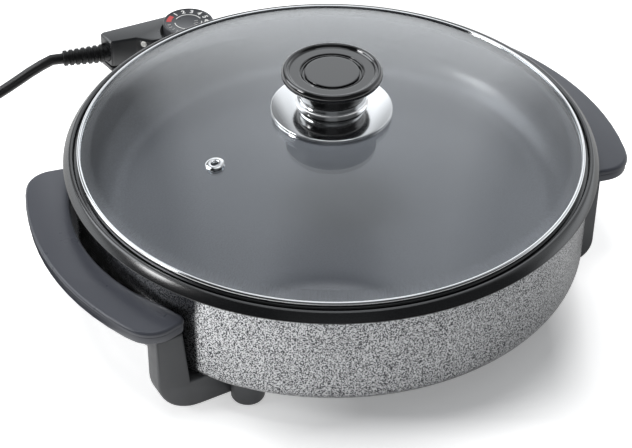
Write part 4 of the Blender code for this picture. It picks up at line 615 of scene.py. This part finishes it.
class SKILLET_OT_cord(bpy.types.Operator):
    """Lays the cord along its route, with its strain relief and its plug"""
    bl_idname = "skillet.cord"
    bl_label = "Cord and plug"

    def execute(self, context):
        route = [Vector((point.x, point.y + PAN_Y, point.z)) * MM for point in cord_points()]
        line = bpy.data.curves.new("power_cord", "CURVE")
        line.dimensions = "3D"
        line.bevel_depth = CORD_R * MM
        line.bevel_resolution = 6
        line.use_fill_caps = True
        spline = line.splines.new("POLY")
        spline.points.add(len(route) - 1)
        for point, spot in zip(spline.points, route):
            point.co = (*spot, 1)
        spline.use_smooth = True
        cord = bpy.data.objects.new("power_cord", line)
        context.scene.collection.objects.link(cord)
        place(cord, "controller", "cord", ["power_cord_free", "power_cord_coil", "power_cord_tail"])
        relief = self.make_relief()
        plug = refined("mains_plug", "plug_body", 1.2 * MM, 3)
        place(plug, "controller", "cord", ["plug_body"])
        blades = [place(refined("blade_" + side, "plug_blade_" + side, 0.25 * MM, 2), "controller",
                        "nickel", ["plug_blade_" + side]) for side in ("left", "right")]
        return {"FINISHED"}

    def make_relief(self):
        """The ribbed sleeve: seven rings that taper toward the cord, grooves between them."""
        rings = [(3.62, 28.0), (4.3, 28.0), (4.9, 27.4)]
        for at in range(7):
            low = 28.0 - 4.0 * (at + 1)
            radius = 5.2 + at / 6
            rings += [(radius - 0.1, low + 3.6), (radius, low + 3.2), (radius, low + 1.7),
                      (radius - 0.15, low + 1.3), (radius - 0.9, low + 1.0), (radius - 0.9, low + 0.2)]
        rings += [(5.5, 0.2), (5.5, -4.5), (3.62, -4.5)]
        relief = turned("cord_relief", rings, (0, 0), 48)
        aimed(relief, RELIEF_AIM, Vector((RELIEF_SPOT.x, RELIEF_SPOT.y + PAN_Y, RELIEF_SPOT.z)) * MM)
        return place(relief, "controller", "cord", ["strain_relief"])


# The pan


class SKILLET_OT_casing(bpy.types.Operator):
    """Makes the hammered casing, with its rounded lower corner and its flange"""
    bl_idname = "skillet.casing"
    bl_label = "Casing"

    def execute(self, context):
        inner = CASING_R - CASING_WALL
        rings = [(108.0, CASING_FOOT)] + bend(CORNER, CORNER_R, -90, 0, 10)
        rings += [(CASING_R, height) for height in (40.0, 54.0, 68.0, CASING_TOP)]
        rings += [(inner, CASING_TOP), (inner, 54.0)] + bend(CORNER, CORNER_R - CASING_WALL, 0, -90, 8)
        casing = turned("hammered_casing", rings + [(108.0, CASING_FOOT + CASING_WALL)])
        place(casing, "pan", "enamel", ["outer_casing"])
        return {"FINISHED"}


class SKILLET_OT_pan(bpy.types.Operator):
    """Makes the coated pan, from its floor to its rolled lip and skirt"""
    bl_idname = "skillet.pan"
    bl_label = "Cooking pan"

    def execute(self, context):
        rings = [(radius, PAN_FLOOR) for radius in (0, 40.0, 85.0)] + bend(COVE, COVE_R, -90, -12, 14)
        rings += [(145.6, 72.4), (146.8, 80.0)] + bend((149.0, 82.4), 2.2, 175, 90, 5)[1:]
        rings += bend((151.2, 85.2), 1.0, -90, 0, 4)
        rings += bend((153.3, 85.9), 1.15, 178, 90, 6) + bend((153.6, 85.05), 2.0, 86, 47, 7)
        rings += bend((138.03, 69.53), 24.0, 44.5, 33, 8) + bend((157.74, 82.33), 0.5, 20, -80, 4)
        rings += [(156.6, 82.6), (155.9, 85.0), (154.6, 85.0), (154.4, 82.4), (149.2, 82.4)]
        rings += [(147.0, 79.0), (146.2, 73.0)] + bend(COVE, COVE_R + PAN_WALL, -12, -90, 10)
        rings.append((0, PAN_FLOOR - PAN_WALL))
        pan = turned("coated_pan", rings, closed=False)
        place(pan, "pan", "coating", ["cooking_pan"])
        pan.data.materials.append(surface("rim"))
        for face in pan.data.polygons:
            if face.center.z > RIM_LOW * MM:
                face.material_index = 1
        return {"FINISHED"}


# Handles and legs


def rounded(corners, steps=8):
    """Rounds the corners of an outline of (x, y, radius) in mm."""
    points = []
    count = len(corners)
    for at, (x, y, radius) in enumerate(corners):
        here = Vector((x, y))
        if radius == 0:
            points.append(here)
            continue
        back = (Vector(corners[at - 1][:2]) - here).normalized()
        ahead = (Vector(corners[(at + 1) % count][:2]) - here).normalized()
        half = back.angle(ahead) / 2
        center = here + (back + ahead).normalized() * (radius / math.sin(half))
        start = here + back * (radius / math.tan(half)) - center
        sweep = start.angle_signed(here + ahead * (radius / math.tan(half)) - center)
        points += [center + Matrix.Rotation(-sweep * step / steps, 2) @ start for step in range(steps + 1)]
    return points


def raised(outline, height):
    """A flat outline's points at a height, in mm."""
    return [(*point, height) for point in outline]


def bulge(middle, radius, half, shares):
    """Points on an arc about a middle on the x axis, at shares of a half length along y, in mm."""
    return [(middle + math.sqrt(radius ** 2 - (share * half) ** 2), share * half) for share in shares]


def bow(side, inset=0.0):
    """A handle's outline from above, in mm."""
    shares = [-0.80, -0.66, -0.52, -0.38, -0.24, -0.12, 0.0, 0.12, 0.24, 0.38, 0.52, 0.66, 0.80]
    corners = [(*spot, 0) for spot in bulge(BOW_OUT_X, 174.0 - inset, 84.8, shares)]
    corners += [(160.0 - inset, 84.8 - inset, 17.0), (134.5, 79.2 - inset, 5.0)]
    corners += [(*spot, 0) for spot in bulge(BOW_IN_X, 121.7 + inset, 79.2, shares[::-1])]
    corners += [(134.5, -79.2 + inset, 5.0), (160.0 - inset, -84.8 + inset, 17.0)]
    return [(side * point.x, point.y + PAN_Y) for point in rounded(corners)]


def finger_hollow(side):
    """The outline of the hollow for the fingers under a handle, in mm."""
    shares = [-0.53, -0.35, -0.18, 0.0, 0.18, 0.35, 0.53]
    points = bulge(BOW_OUT_X, 171.0, 58.0, shares) + bulge(BOW_IN_X, 124.7, 58.0, shares[::-1])
    return [(side * x, y + PAN_Y) for x, y in points]


def casing_tool():
    """A turned block that clears whatever would enter the casing."""
    rings = [(0, 90), (CASING_R + GAP, 90)] + bend(CORNER, CORNER_R + GAP, 0, -90, 8)
    return turned("casing_tool", rings + [(0, CASING_FOOT - GAP)], closed=False)


class SKILLET_OT_handles(bpy.types.Operator):
    """Makes both handles: the plate with its rounded edge, and the frame under it"""
    bl_idname = "skillet.handles"
    bl_label = "Handles"

    def execute(self, context):
        edge = context.scene.skillet_sizes.handle_edge
        near_top = (PLATE_LOW + PLATE_T - 0.1) * MM
        for name, side in (("left", -1), ("right", 1)):
            plate = moulded("handle_top_" + name, raised(bow(side), PLATE_LOW), (0, 0, PLATE_T), edge, 5,
                            lambda a, b: min(a.z, b.z) > near_top)
            carve(plate, casing_tool())
            place(plate, "pan", "handle", ["handle_plate_" + name])
            band = moulded("handle_band_" + name, raised(bow(side, 0.5), FRAME_LOW), (0, 0, FRAME_T),
                           0.8 * MM, 3)
            carve(band, moulded("hollow_tool", raised(finger_hollow(side), FRAME_LOW - 3),
                                (0, 0, FRAME_T + 1)))
            carve(band, casing_tool())
            place(band, "pan", "handle", ["handle_frame_" + name])
        return {"FINISHED"}


class SKILLET_OT_legs(bpy.types.Operator):
    """Makes the four legs: a flat post, a runner under the casing and a round boss"""
    bl_idname = "skillet.legs"
    bl_label = "Legs and foot pads"

    def execute(self, context):
        edge = context.scene.skillet_sizes.leg_edge
        for name, across, along in (("front_left", -1, -1), ("front_right", 1, -1), ("rear_left", -1, 1),
                                    ("rear_right", 1, 1)):
            out, corner_r, in_top, in_low = WIDE_POST if across == along else NARROW_POST
            corners = [(out, LEG_TOP, 0), (out, LEG_FOOT, corner_r), (101.0, LEG_FOOT, 0),
                       (101.0, RUNNER_TOP, 0), (in_low, RUNNER_TOP, 0), (in_top, LEG_TOP, 0)]
            outline = [(across * point.x, along * POST_Y + PAN_Y, point.y) for point in rounded(corners, 12)]
            post = moulded("post", outline, (0, -along * POST_W, 0), edge, 3)
            carve(post, casing_tool())
            # The block behind the post, which the wall screw enters
            corners = [(132.0, 58.0), (146.0, 58.0), (146.0, 69.6), (132.0, 69.6)]
            block = moulded("block", raised([(across * x, along * y + PAN_Y) for x, y in corners], 44.0),
                            (0, 0, 12.0))
            carve(block, casing_tool())
            spot = (across * BOSS_X, along * BOSS_Y + PAN_Y)
            boss = turned("boss", [(0, 19.2), (9.7, 19.2), (9.7, 1.6), (9.2, 0.7), (8.6, 0.5), (0, 0.5)],
                          spot, 64, closed=False)
            place(joined("leg_post_" + name, [post, block, boss]), "pan", "leg", ["leg_" + name])
            rings = [(0, 1.6), (8.4, 1.6), (8.4, 0.6), (8.1, 0.15), (7.6, 0.0), (6.2, 0.0), (5.9, 0.35),
                     (4.8, 0.35), (4.5, 0.0), (0, 0.0)]
            pad = turned("rubber_pad_" + name, rings, spot, 48, closed=False)
            place(pad, "pan", "rubber", ["foot_pad_" + name])
        return {"FINISHED"}


# The lid


def dome(radius, drop=0.0):
    """Height of the glass's upper face, or of a face below it."""
    return DOME_TOP - DOME_R + math.sqrt(DOME_R ** 2 - radius ** 2) - drop


class SKILLET_OT_lid(bpy.types.Operator):
    """Makes the domed glass, its bright band and the vent's eyelet"""
    bl_idname = "skillet.lid"
    bl_label = "Glass lid"

    def execute(self, context):
        reach = [3.4] + [12.0 + 134.5 * at / 16 for at in range(17)]
        rings = [(radius, dome(radius)) for radius in reach + [148.4]] + [(148.4, 85.5)]
        rings += [(radius, dome(radius, GLASS_T)) for radius in reversed(reach)]
        glass = turned("domed_glass", rings)
        spot, normal = self.vent()
        carve(glass, drill(spot - normal * 9, spot + normal * 5, 3.5))
        place(glass, "lid", "glass", ["lid_glass"])
        band = [(147.8, 88.6), (147.8, 89.0), (148.0, 89.3), (148.5, 89.45), (149.0, 89.4), (149.5, 89.15),
                (149.8, 88.8), (149.97, 88.3), (150.0, 87.6), (150.0, 85.6), (149.6, 85.0), (149.0, 84.9),
                (147.2, 84.9), (147.2, 85.2), (148.7, 85.2), (148.7, 88.6)]
        ring = turned("bright_band", band)
        place(ring, "lid", "bright", ["lid_band"])
        rings = [(2.1, 0.6), (2.3, 1.0), (2.9, 1.25), (3.9, 1.2), (4.9, 0.95), (5.5, 0.5), (5.5, 0.3),
                 (3.2, 0.3), (3.2, -3.7), (5.5, -3.7), (5.4, -4.3), (4.2, -4.6), (2.1, -4.6)]
        eyelet = turned("eyelet", rings, (0, 0), 64)
        aimed(eyelet, normal, spot * MM)
        place(eyelet, "lid", "bright", ["vent_eyelet"])
        return {"FINISHED"}

    def vent(self):
        """The vent's place on the glass in mm, and the glass's normal there."""
        angle = math.radians(185.2)
        spot = Vector((VENT_R * math.cos(angle), VENT_R * math.sin(angle), dome(VENT_R)))
        normal = (spot - Vector((0, 0, DOME_TOP - DOME_R))).normalized()
        return spot + Vector((0, PAN_Y, 0)), normal


class SKILLET_OT_knob(bpy.types.Operator):
    """Makes the knob: polished disc, collar, glossy grip and the inlay in its top"""
    bl_idname = "skillet.knob"
    bl_label = "Knob"

    def execute(self, context):
        low = dome(35.6) + GAP
        edge = low + 3.5
        disc = above(edge, [(2.6, 3.2), (19.4, 3.2), (24.0, 2.6), (29.0, 1.5), (34.6, 0.15)]
                     + bend((35.1, -0.55), 0.5, 75, 0, 4)
                     + [(35.6, -1.5), (35.4, -1.7), (35.4, -1.9), (35.6, -2.1)])
        disc += [(35.6, low + 0.2), (35.4, low), (32.6, low), (32.6, 111.3), (2.6, 111.3)]
        place(turned("seat_disc", disc, steps=128), "lid", "turned", ["knob_disc"])
        base = edge + 3.5
        collar = above(base, [(2.6, 6.4), (19.7, 6.4), (20.1, 6.1), (20.1, 5.2), (19.9, 4.2), (19.8, 3.2),
                              (20.0, 2.1), (20.4, 1.2), (21.0, 0.5), (21.2, 0.2), (21.0, 0.0), (2.6, 0.0)])
        place(turned("neck_collar", collar, steps=128), "lid", "turned", ["knob_collar"])
        foot = base + 6.6
        land = foot + 13.9
        # The thick rim is an oval bead, from its inner foot over the top to below.
        bead = [(x, rise * 1.23 - 0.9) for x, rise in bend((27.2, 0), 2.2, 150, -80, 22)]
        grip = above(land, [(0, -1.6), (16.9, -1.6), (17.0, -0.8), (17.2, -0.5), (17.6, -0.4), (17.9, -0.6),
                            (18.1, -1.1), (18.5, -1.1), (18.6, -0.2), (18.9, 0.0), (19.4, 0.0), (23.6, 0.0),
                            (24.2, 0.0), (24.7, 0.1), (25.0, 0.35)] + bead
                     + [(26.4, -3.9), (25.0, -4.4), (23.8, -5.1), (22.9, -6.3), (22.3, -8.0), (21.5, -10.2),
                        (20.8, -12.2), (20.3, -13.3), (20.0, -13.8)])
        grip += [(19.7, foot), (0, foot)]
        place(turned("knob_cap", grip, steps=128, closed=False, smooth=50), "lid", "knob",
              ["knob_grip"])
        inlay = above(land, [(0, 0.05), (14.6, 0.0)] + bend((15.5, -0.5), 0.5, 90, 0, 4)
                      + [(16.0, -1.3), (0, -1.3)])
        place(turned("cap_inlay", inlay, steps=128, closed=False), "lid", "knob", ["knob_inlay"])
        return {"FINISHED"}


# The controller


class SKILLET_OT_controller(bpy.types.Operator):
    """Makes the controller's two housings, its pilot lamp and the guard of its socket"""
    bl_idname = "skillet.controller"
    bl_label = "Temperature controller"

    def execute(self, context):
        edge = context.scene.skillet_sizes.housing_edge
        for name, node, body, look, width, segments in (
                ("controller_cover", "controller_upper_housing", "controller", "housing", edge * 0.5, 2),
                ("controller_case", "controller_lower_housing", "controller", "housing", edge * 0.4, 2),
                ("lamp_button", "pilot_lamp", "controller", "lamp", 0.5 * MM, 3),
                ("pin_guard", "socket_guard", "pan", "guard", 0.6 * MM, 2)):
            place(refined(name, node, width, segments), body, look, [node])
        return {"FINISHED"}


class SKILLET_OT_dial(bpy.types.Operator):
    """Makes the dial with its rim, its marks and plain numbers"""
    bl_idname = "skillet.dial"
    bl_label = "Dial"

    def execute(self, context):
        rings = above(FACE_Z, [(0, 0.0), (15.0, 0.0), (15.2, 0.15), (15.5, 0.45)]
                      + bend((15.7, -0.4), 0.9, 95, 0, 5)) + [(16.6, 64.3), (16.3, 64.0), (14.4, 64.0)]
        rings += [(14.4, 74.3), (5.5, 74.3), (5.5, 64.0), (3.3, 64.0), (3.3, 74.3), (0, 74.3)]
        dial = turned("dial_cap", rings, DIAL_SPOT, 128, closed=False)
        place(dial, "dial", "dial", ["temperature_dial"])
        high = context.scene.skillet_sizes.print_height / MM
        white = [self.number(str(at), math.radians(131 - 26 * at), high) for at in range(1, 8)]
        white += [self.arc("ring", 8.5, 9.1, 160, 338, high), self.arc("ring", 8.5, 9.1, 0, 128, high)]
        outer, inner = (((near, -half), (far, -half), (far, half), (near, half))
                        for near, far, half in ((12.0, 14.0, 0.125), (4.2, 6.6, 0.11)))
        white += [self.spoke(168 + 14 * at, outer, high) for at in range(9)]
        white.append(self.spoke(-18, ((11.2, -1), (13.4, 0), (11.2, 1)), high))
        white += [self.spoke(-12 - 24 * at, inner, high) for at in range(3)]
        print_white = joined("dial_print", white)
        place(print_white, "dial", "white", slot="lamp_lens")
        red = self.arc("dial_sector", 11.2, 14.4, 120, 152, high)
        place(red, "dial", "red", slot="lamp_lens")
        return {"FINISHED"}

    def number(self, text, angle, high):
        """One numeral near the rim, its foot toward the middle."""
        bpy.ops.object.text_add()
        made = bpy.context.object
        made.data.body = text
        made.data.size = NUMERAL_H * MM
        made.data.align_x = "CENTER"
        made.data.align_y = "CENTER"
        made.data.extrude = high * MM / 2
        made.data.offset = STROKE * MM
        bpy.ops.object.convert(target="MESH")
        made = named("numeral")
        made.rotation_euler = (0, 0, angle - math.pi / 2)
        made.location = (DIAL_SPOT[0] * MM + NUMERAL_R * MM * math.cos(angle),
                         DIAL_SPOT[1] * MM + NUMERAL_R * MM * math.sin(angle), (FACE_Z + high / 2) * MM)
        return settle(made)

    def spoke(self, degrees, points, high):
        """A flat shape on a radius, of points by their way out along it and beside it, in mm."""
        angle = math.radians(degrees)
        aim = Vector((math.cos(angle), math.sin(angle), 0))
        side = Vector((-aim.y, aim.x, 0))
        spot = Vector((*DIAL_SPOT, FACE_Z - SUNK))
        return moulded("spoke", [spot + aim * out + side * off for out, off in points], (0, 0, high))

    def arc(self, name, inner, outer, start, end, high):
        """A flat ring segment of print."""
        points = bend(DIAL_SPOT, outer, start, end, 30) + bend(DIAL_SPOT, inner, end, start, 30)
        return moulded(name, [(x, y, FACE_Z - SUNK) for x, y in points], (0, 0, high))


# What keeps its CAD shape


class SKILLET_OT_hardware(bpy.types.Operator):
    """Gives the pieces that keep their solid shape a finish"""
    bl_idname = "skillet.hardware"
    bl_label = "Inner pieces and fasteners"

    def execute(self, context):
        kept = {
            "zinc": ["base_cover"],
            "aluminium": ["heat_spreader"],
            "sheath": ["heating_element"],
            "ceramic": ["terminal_block", "thermostat_carrier"],
            "silicone": ["glass_washer_upper", "glass_washer_lower"],
            "nickel": ["terminal_pin_left", "terminal_pin_right", "contact_sleeve_left",
                       "contact_sleeve_right", "bimetal_blade", "dial_spindle"],
            "steel": ["cover_stud", "cover_nut", "probe_well", "guard_screw_left", "guard_screw_right",
                      "wall_screw_front_left", "wall_screw_front_right", "wall_screw_rear_left",
                      "wall_screw_rear_right", "screw_washer", "knob_screw", "sensing_probe",
                      "controller_screw"],
        }
        for look, names in kept.items():
            for name in names:
                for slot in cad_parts[name].material_slots:
                    slot.material = surface(look)
        return {"FINISHED"}


# Stage


class SKILLET_OT_stage(bpy.types.Operator):
    """Sets the white floor, the lamps, the world and the camera"""
    bl_idname = "skillet.stage"
    bl_label = "Stage"

    def execute(self, context):
        self.make_camera(context)
        self.make_floor()
        self.make_world(context)
        self.make_lamps()
        context.scene.view_settings.view_transform = "Standard"
        return {"FINISHED"}

    def make_camera(self, context):
        """A long lens from above the front left, as the picture was taken."""
        aims = {"right": Vector((1, 0, 0)), "ahead": Vector((0, CAMERA_AWAY, -CAMERA_RISE)).normalized()}
        aims["up"] = aims["right"].cross(aims["ahead"])
        # Small turns of one direction toward another: to the side, down, and about the line of sight
        for first, second, angle in (("ahead", "right", -0.4309), ("ahead", "up", -2.6127),
                                     ("right", "up", 0.8005)):
            share, rest = math.sin(math.radians(angle)), math.cos(math.radians(angle))
            aims[first], aims[second] = (aims[first] * rest + aims[second] * share,
                                         aims[second] * rest - aims[first] * share)
        swing = Matrix.Rotation(math.radians(CAMERA_SWING), 3, "Z")
        axes = Matrix((swing @ aims["right"], swing @ aims["up"], swing @ -aims["ahead"])).transposed()
        rim_middle = Vector((0, PAN_Y * MM, 88.0 * MM))
        spot = swing @ Vector((0, -CAMERA_AWAY, CAMERA_RISE)) * MM + rim_middle
        bpy.ops.object.camera_add()
        camera = named("studio_camera")
        camera.data.sensor_width = SENSOR_W
        camera.data.sensor_fit = "HORIZONTAL"
        camera.data.lens = LENS_PIXELS / PICTURE_PIXELS * SENSOR_W
        camera.data.clip_start = 0.05
        camera.data.clip_end = 50
        camera.matrix_world = Matrix.Translation(spot) @ axes.to_4x4()
        context.scene.camera = camera

    def make_floor(self):
        """A wide white sweep that holds the shadow, with its own light for the camera and for reflections."""
        bpy.ops.mesh.primitive_plane_add(size=14, location=(0, 0, 0))
        floor = named("studio_floor")
        made, tree, shader, spot = finish("floor_paper", {"Base Color": (0.92, 0.92, 0.92, 1),
                                                          "Roughness": 0.9, "Specular IOR Level": 0.0})
        rays = add(tree, "LightPath").outputs
        side = vectors(tree, "DOT_PRODUCT", spot, PICTURE_RIGHT)["Value"]
        near = vectors(tree, "DOT_PRODUCT", spot, -PICTURE_AHEAD)["Value"]
        # A painted glow that only the camera sees lifts the floor's shadow at its left, right and foot.
        left = spread(tree, side, 0.03, -0.09, 0.0, 0.5)
        right = spread(tree, side, 0.14, 0.164, 0.0, spread(tree, near, 0.15, 0.04, 0.03, 0.55))
        foot = spread(tree, near, 0.16, 0.178, 0.0, 0.16)
        painted_glow = reckon(tree, "MAXIMUM", reckon(tree, "MAXIMUM", left, right), foot)
        # Painted glow that only reflections see, at the paper's front left: it lights the casing's left half.
        bright = spread(tree, side, 0.02, -0.14, 0.0, spread(tree, near, -0.16, -0.06, 0.0, 0.75))
        lift = reckon(tree, "MULTIPLY", bright, rays["Is Glossy Ray"])
        shown = reckon(tree, "MULTIPLY_ADD", painted_glow, rays["Is Camera Ray"], lift)
        seen = reckon(tree, "MAXIMUM", rays["Is Camera Ray"], rays["Is Glossy Ray"])
        seen = reckon(tree, "MAXIMUM", seen, rays["Is Transmission Ray"])
        light = reckon(tree, "MULTIPLY_ADD", seen, 0.2, shown)
        glow = add(tree, "Emission", {"Color": (1, 1, 1, 1), "Strength": light})
        lit = add(tree, "AddShader", {0: shader.outputs["BSDF"], 1: glow.outputs["Emission"]})
        # Reflections only: dark beyond the table's near edge, painted shade under the left handle and at the
        # right.
        far = spread(tree, near, 0.3, 0.9, 0.0, 0.85, True)
        # Painted shade that darkens the paper's reflection toward the right
        dim = spread(tree, side, 0.02, 0.2, 0.0, 0.3)
        # An oval of painted shadow on the paper under the left handle, which only reflections show
        flat = add(tree, "CombineXYZ", {"X": side, "Y": near}).outputs["Vector"]
        apart = vectors(tree, "SUBTRACT", flat, Vector((-0.195, 0.05, 0)))["Vector"]
        oval = vectors(tree, "DIVIDE", apart, Vector((0.048, 0.115, 1)))["Vector"]
        under = spread(tree, vectors(tree, "LENGTH", oval)["Value"], 1.3, 1.0, smooth=True)
        shade = reckon(tree, "MAXIMUM", reckon(tree, "MAXIMUM", far, dim), under)
        black = add(tree, "Emission", {"Strength": 0.0})
        both = add(tree, "MixShader", {
            "Fac": reckon(tree, "MULTIPLY", shade, rays["Is Glossy Ray"]),
            1: lit.outputs["Shader"], 2: black.outputs["Emission"]})
        resurface(tree, both.outputs["Shader"])
        floor.data.materials.append(made)

    def make_world(self, context):
        """White to the camera and plain to matt surfaces; in reflections a bright back and a window pane."""
        world = bpy.data.worlds.new("studio_world")
        context.scene.world = world
        world.use_nodes = True
        tree = world.node_tree
        tree.nodes.clear()
        rays = add(tree, "LightPath").outputs
        aim = add(tree, "TexCoord").outputs["Generated"]
        side = vectors(tree, "DOT_PRODUCT", aim, PICTURE_RIGHT)["Value"]
        across = self.levels(tree, side, ((-1.0, 0.22), (-0.33, 0.22), (-0.26, 0.68), (-0.1, 1.0),
                                          (0.05, 1.0), (0.25, 1.0), (0.34, 0.5)))
        ahead = vectors(tree, "DOT_PRODUCT", aim, PICTURE_AHEAD)["Value"]
        behind = self.levels(tree, ahead, ((-1.0, 0.1), (-0.15, 0.1), (0.15, 1.0), (1.0, 1.0)))
        high = add(tree, "SeparateXYZ", {"Vector": aim}).outputs["Z"]
        low = self.levels(tree, high, ((-1.0, 1.0), (0.18, 1.0), (0.36, 0.0), (1.0, 0.0)))
        upward = self.levels(tree, high, ((-1.0, 0.67), (0.0, 0.9), (0.25, 1.0), (0.47, 0.92), (0.62, 0.78),
                                          (0.88, 0.48), (0.925, 0.4), (0.934, 0.16), (0.94, 0.16),
                                          (0.944, 0.9)))
        walls = reckon(tree, "MULTIPLY", reckon(tree, "MAXIMUM", across, low), upward)
        walls = reckon(tree, "MULTIPLY", walls, behind)
        window = vectors(tree, "DOT_PRODUCT", aim, Vector((-0.471, 0.584, 0.661)))["Value"]
        pane = spread(tree, window, 0.93, 0.96, 0.0, 3.2, True)
        panel = reckon(tree, "MULTIPLY_ADD", walls, 1.6, pane)
        mirror = reckon(tree, "MAXIMUM", rays["Is Glossy Ray"], rays["Is Transmission Ray"])
        level = spread(tree, mirror, 0.0, 1.0, 0.3, panel)
        strength = spread(tree, rays["Is Camera Ray"], 0.0, 1.0, level, 1.0)
        cool = add(tree, "Mix", {"Factor": rays["Is Camera Ray"], "A": (0.94, 0.97, 1.0, 1),
                                           "B": (1, 1, 1, 1)}, data_type="RGBA")
        sky = add(tree, "Background", {"Color": cool.outputs[2], "Strength": strength})
        add(tree, "OutputWorld", {"Surface": sky.outputs["Background"]})

    def levels(self, tree, value, stops):
        """A level of light that follows a value from -1 to 1 through the stops."""
        ramp = add(tree, "ValToRGB", {"Fac": spread(tree, value, -1.0, 1.0)})
        elements = ramp.color_ramp.elements
        for at, (spot, level) in enumerate(stops):
            stop = elements[at] if at < 2 else elements.new((spot + 1) / 2)
            stop.position = (spot + 1) / 2
            stop.color = (level, level, level, 1)
        return ramp.outputs["Color"]

    def make_lamps(self):
        """A soft key from above, a little behind and left, and a small side lamp that reflections show."""
        for name, strength, angle, aim, shown in (("key_lamp", 2.1, 35, (0.064, -0.247, -0.96), False),
                                                  ("side_lamp", 0.6, 14, (0.877, -0.285, -0.6), True)):
            bpy.ops.object.light_add(type="SUN")
            lamp = named(name)
            lamp.data.energy = strength
            lamp.data.angle = math.radians(angle)
            lamp.visible_glossy = shown
            lamp.visible_transmission = shown
            lamp.rotation_mode = "QUATERNION"
            lamp.rotation_quaternion = Vector((0, 0, -1)).rotation_difference(Vector(aim))


STEPS = (
    "stage", "cord", "casing", "pan", "handles", "legs", "lid", "knob", "controller", "dial", "hardware",
)


class SKILLET_PT_panel(bpy.types.Panel):
    """Lists the sizes, the colours and the steps"""
    bl_idname = "SKILLET_PT_panel"
    bl_label = "Electric skillet"
    bl_space_type = "VIEW_3D"
    bl_region_type = "UI"
    bl_category = "Skillet"

    def draw(self, context):
        layout = self.layout
        for group in (context.scene.skillet_colours, context.scene.skillet_sizes):
            for name in group.bl_rna.properties.keys():
                if name not in ("rna_type", "name"):
                    layout.prop(group, name)
        for step in STEPS:
            layout.operator("skillet." + step)


CLASSES = (
    SkilletColours, SkilletSizes, SKILLET_OT_cord, SKILLET_OT_casing, SKILLET_OT_pan, SKILLET_OT_handles,
    SKILLET_OT_legs, SKILLET_OT_lid, SKILLET_OT_knob, SKILLET_OT_controller, SKILLET_OT_dial,
    SKILLET_OT_hardware, SKILLET_OT_stage, SKILLET_PT_panel,
)


def register():
    for cls in CLASSES:
        bpy.utils.register_class(cls)
    bpy.types.Scene.skillet_colours = bpy.props.PointerProperty(type=SkilletColours)
    bpy.types.Scene.skillet_sizes = bpy.props.PointerProperty(type=SkilletSizes)


def unregister():
    del bpy.types.Scene.skillet_sizes
    del bpy.types.Scene.skillet_colours
    for cls in reversed(CLASSES):
        bpy.utils.unregister_class(cls)


def main():
    """Builds the whole scene."""
    register()
    for step in STEPS:
        getattr(bpy.ops.skillet, step)()


if __name__ == "__main__":
    main()
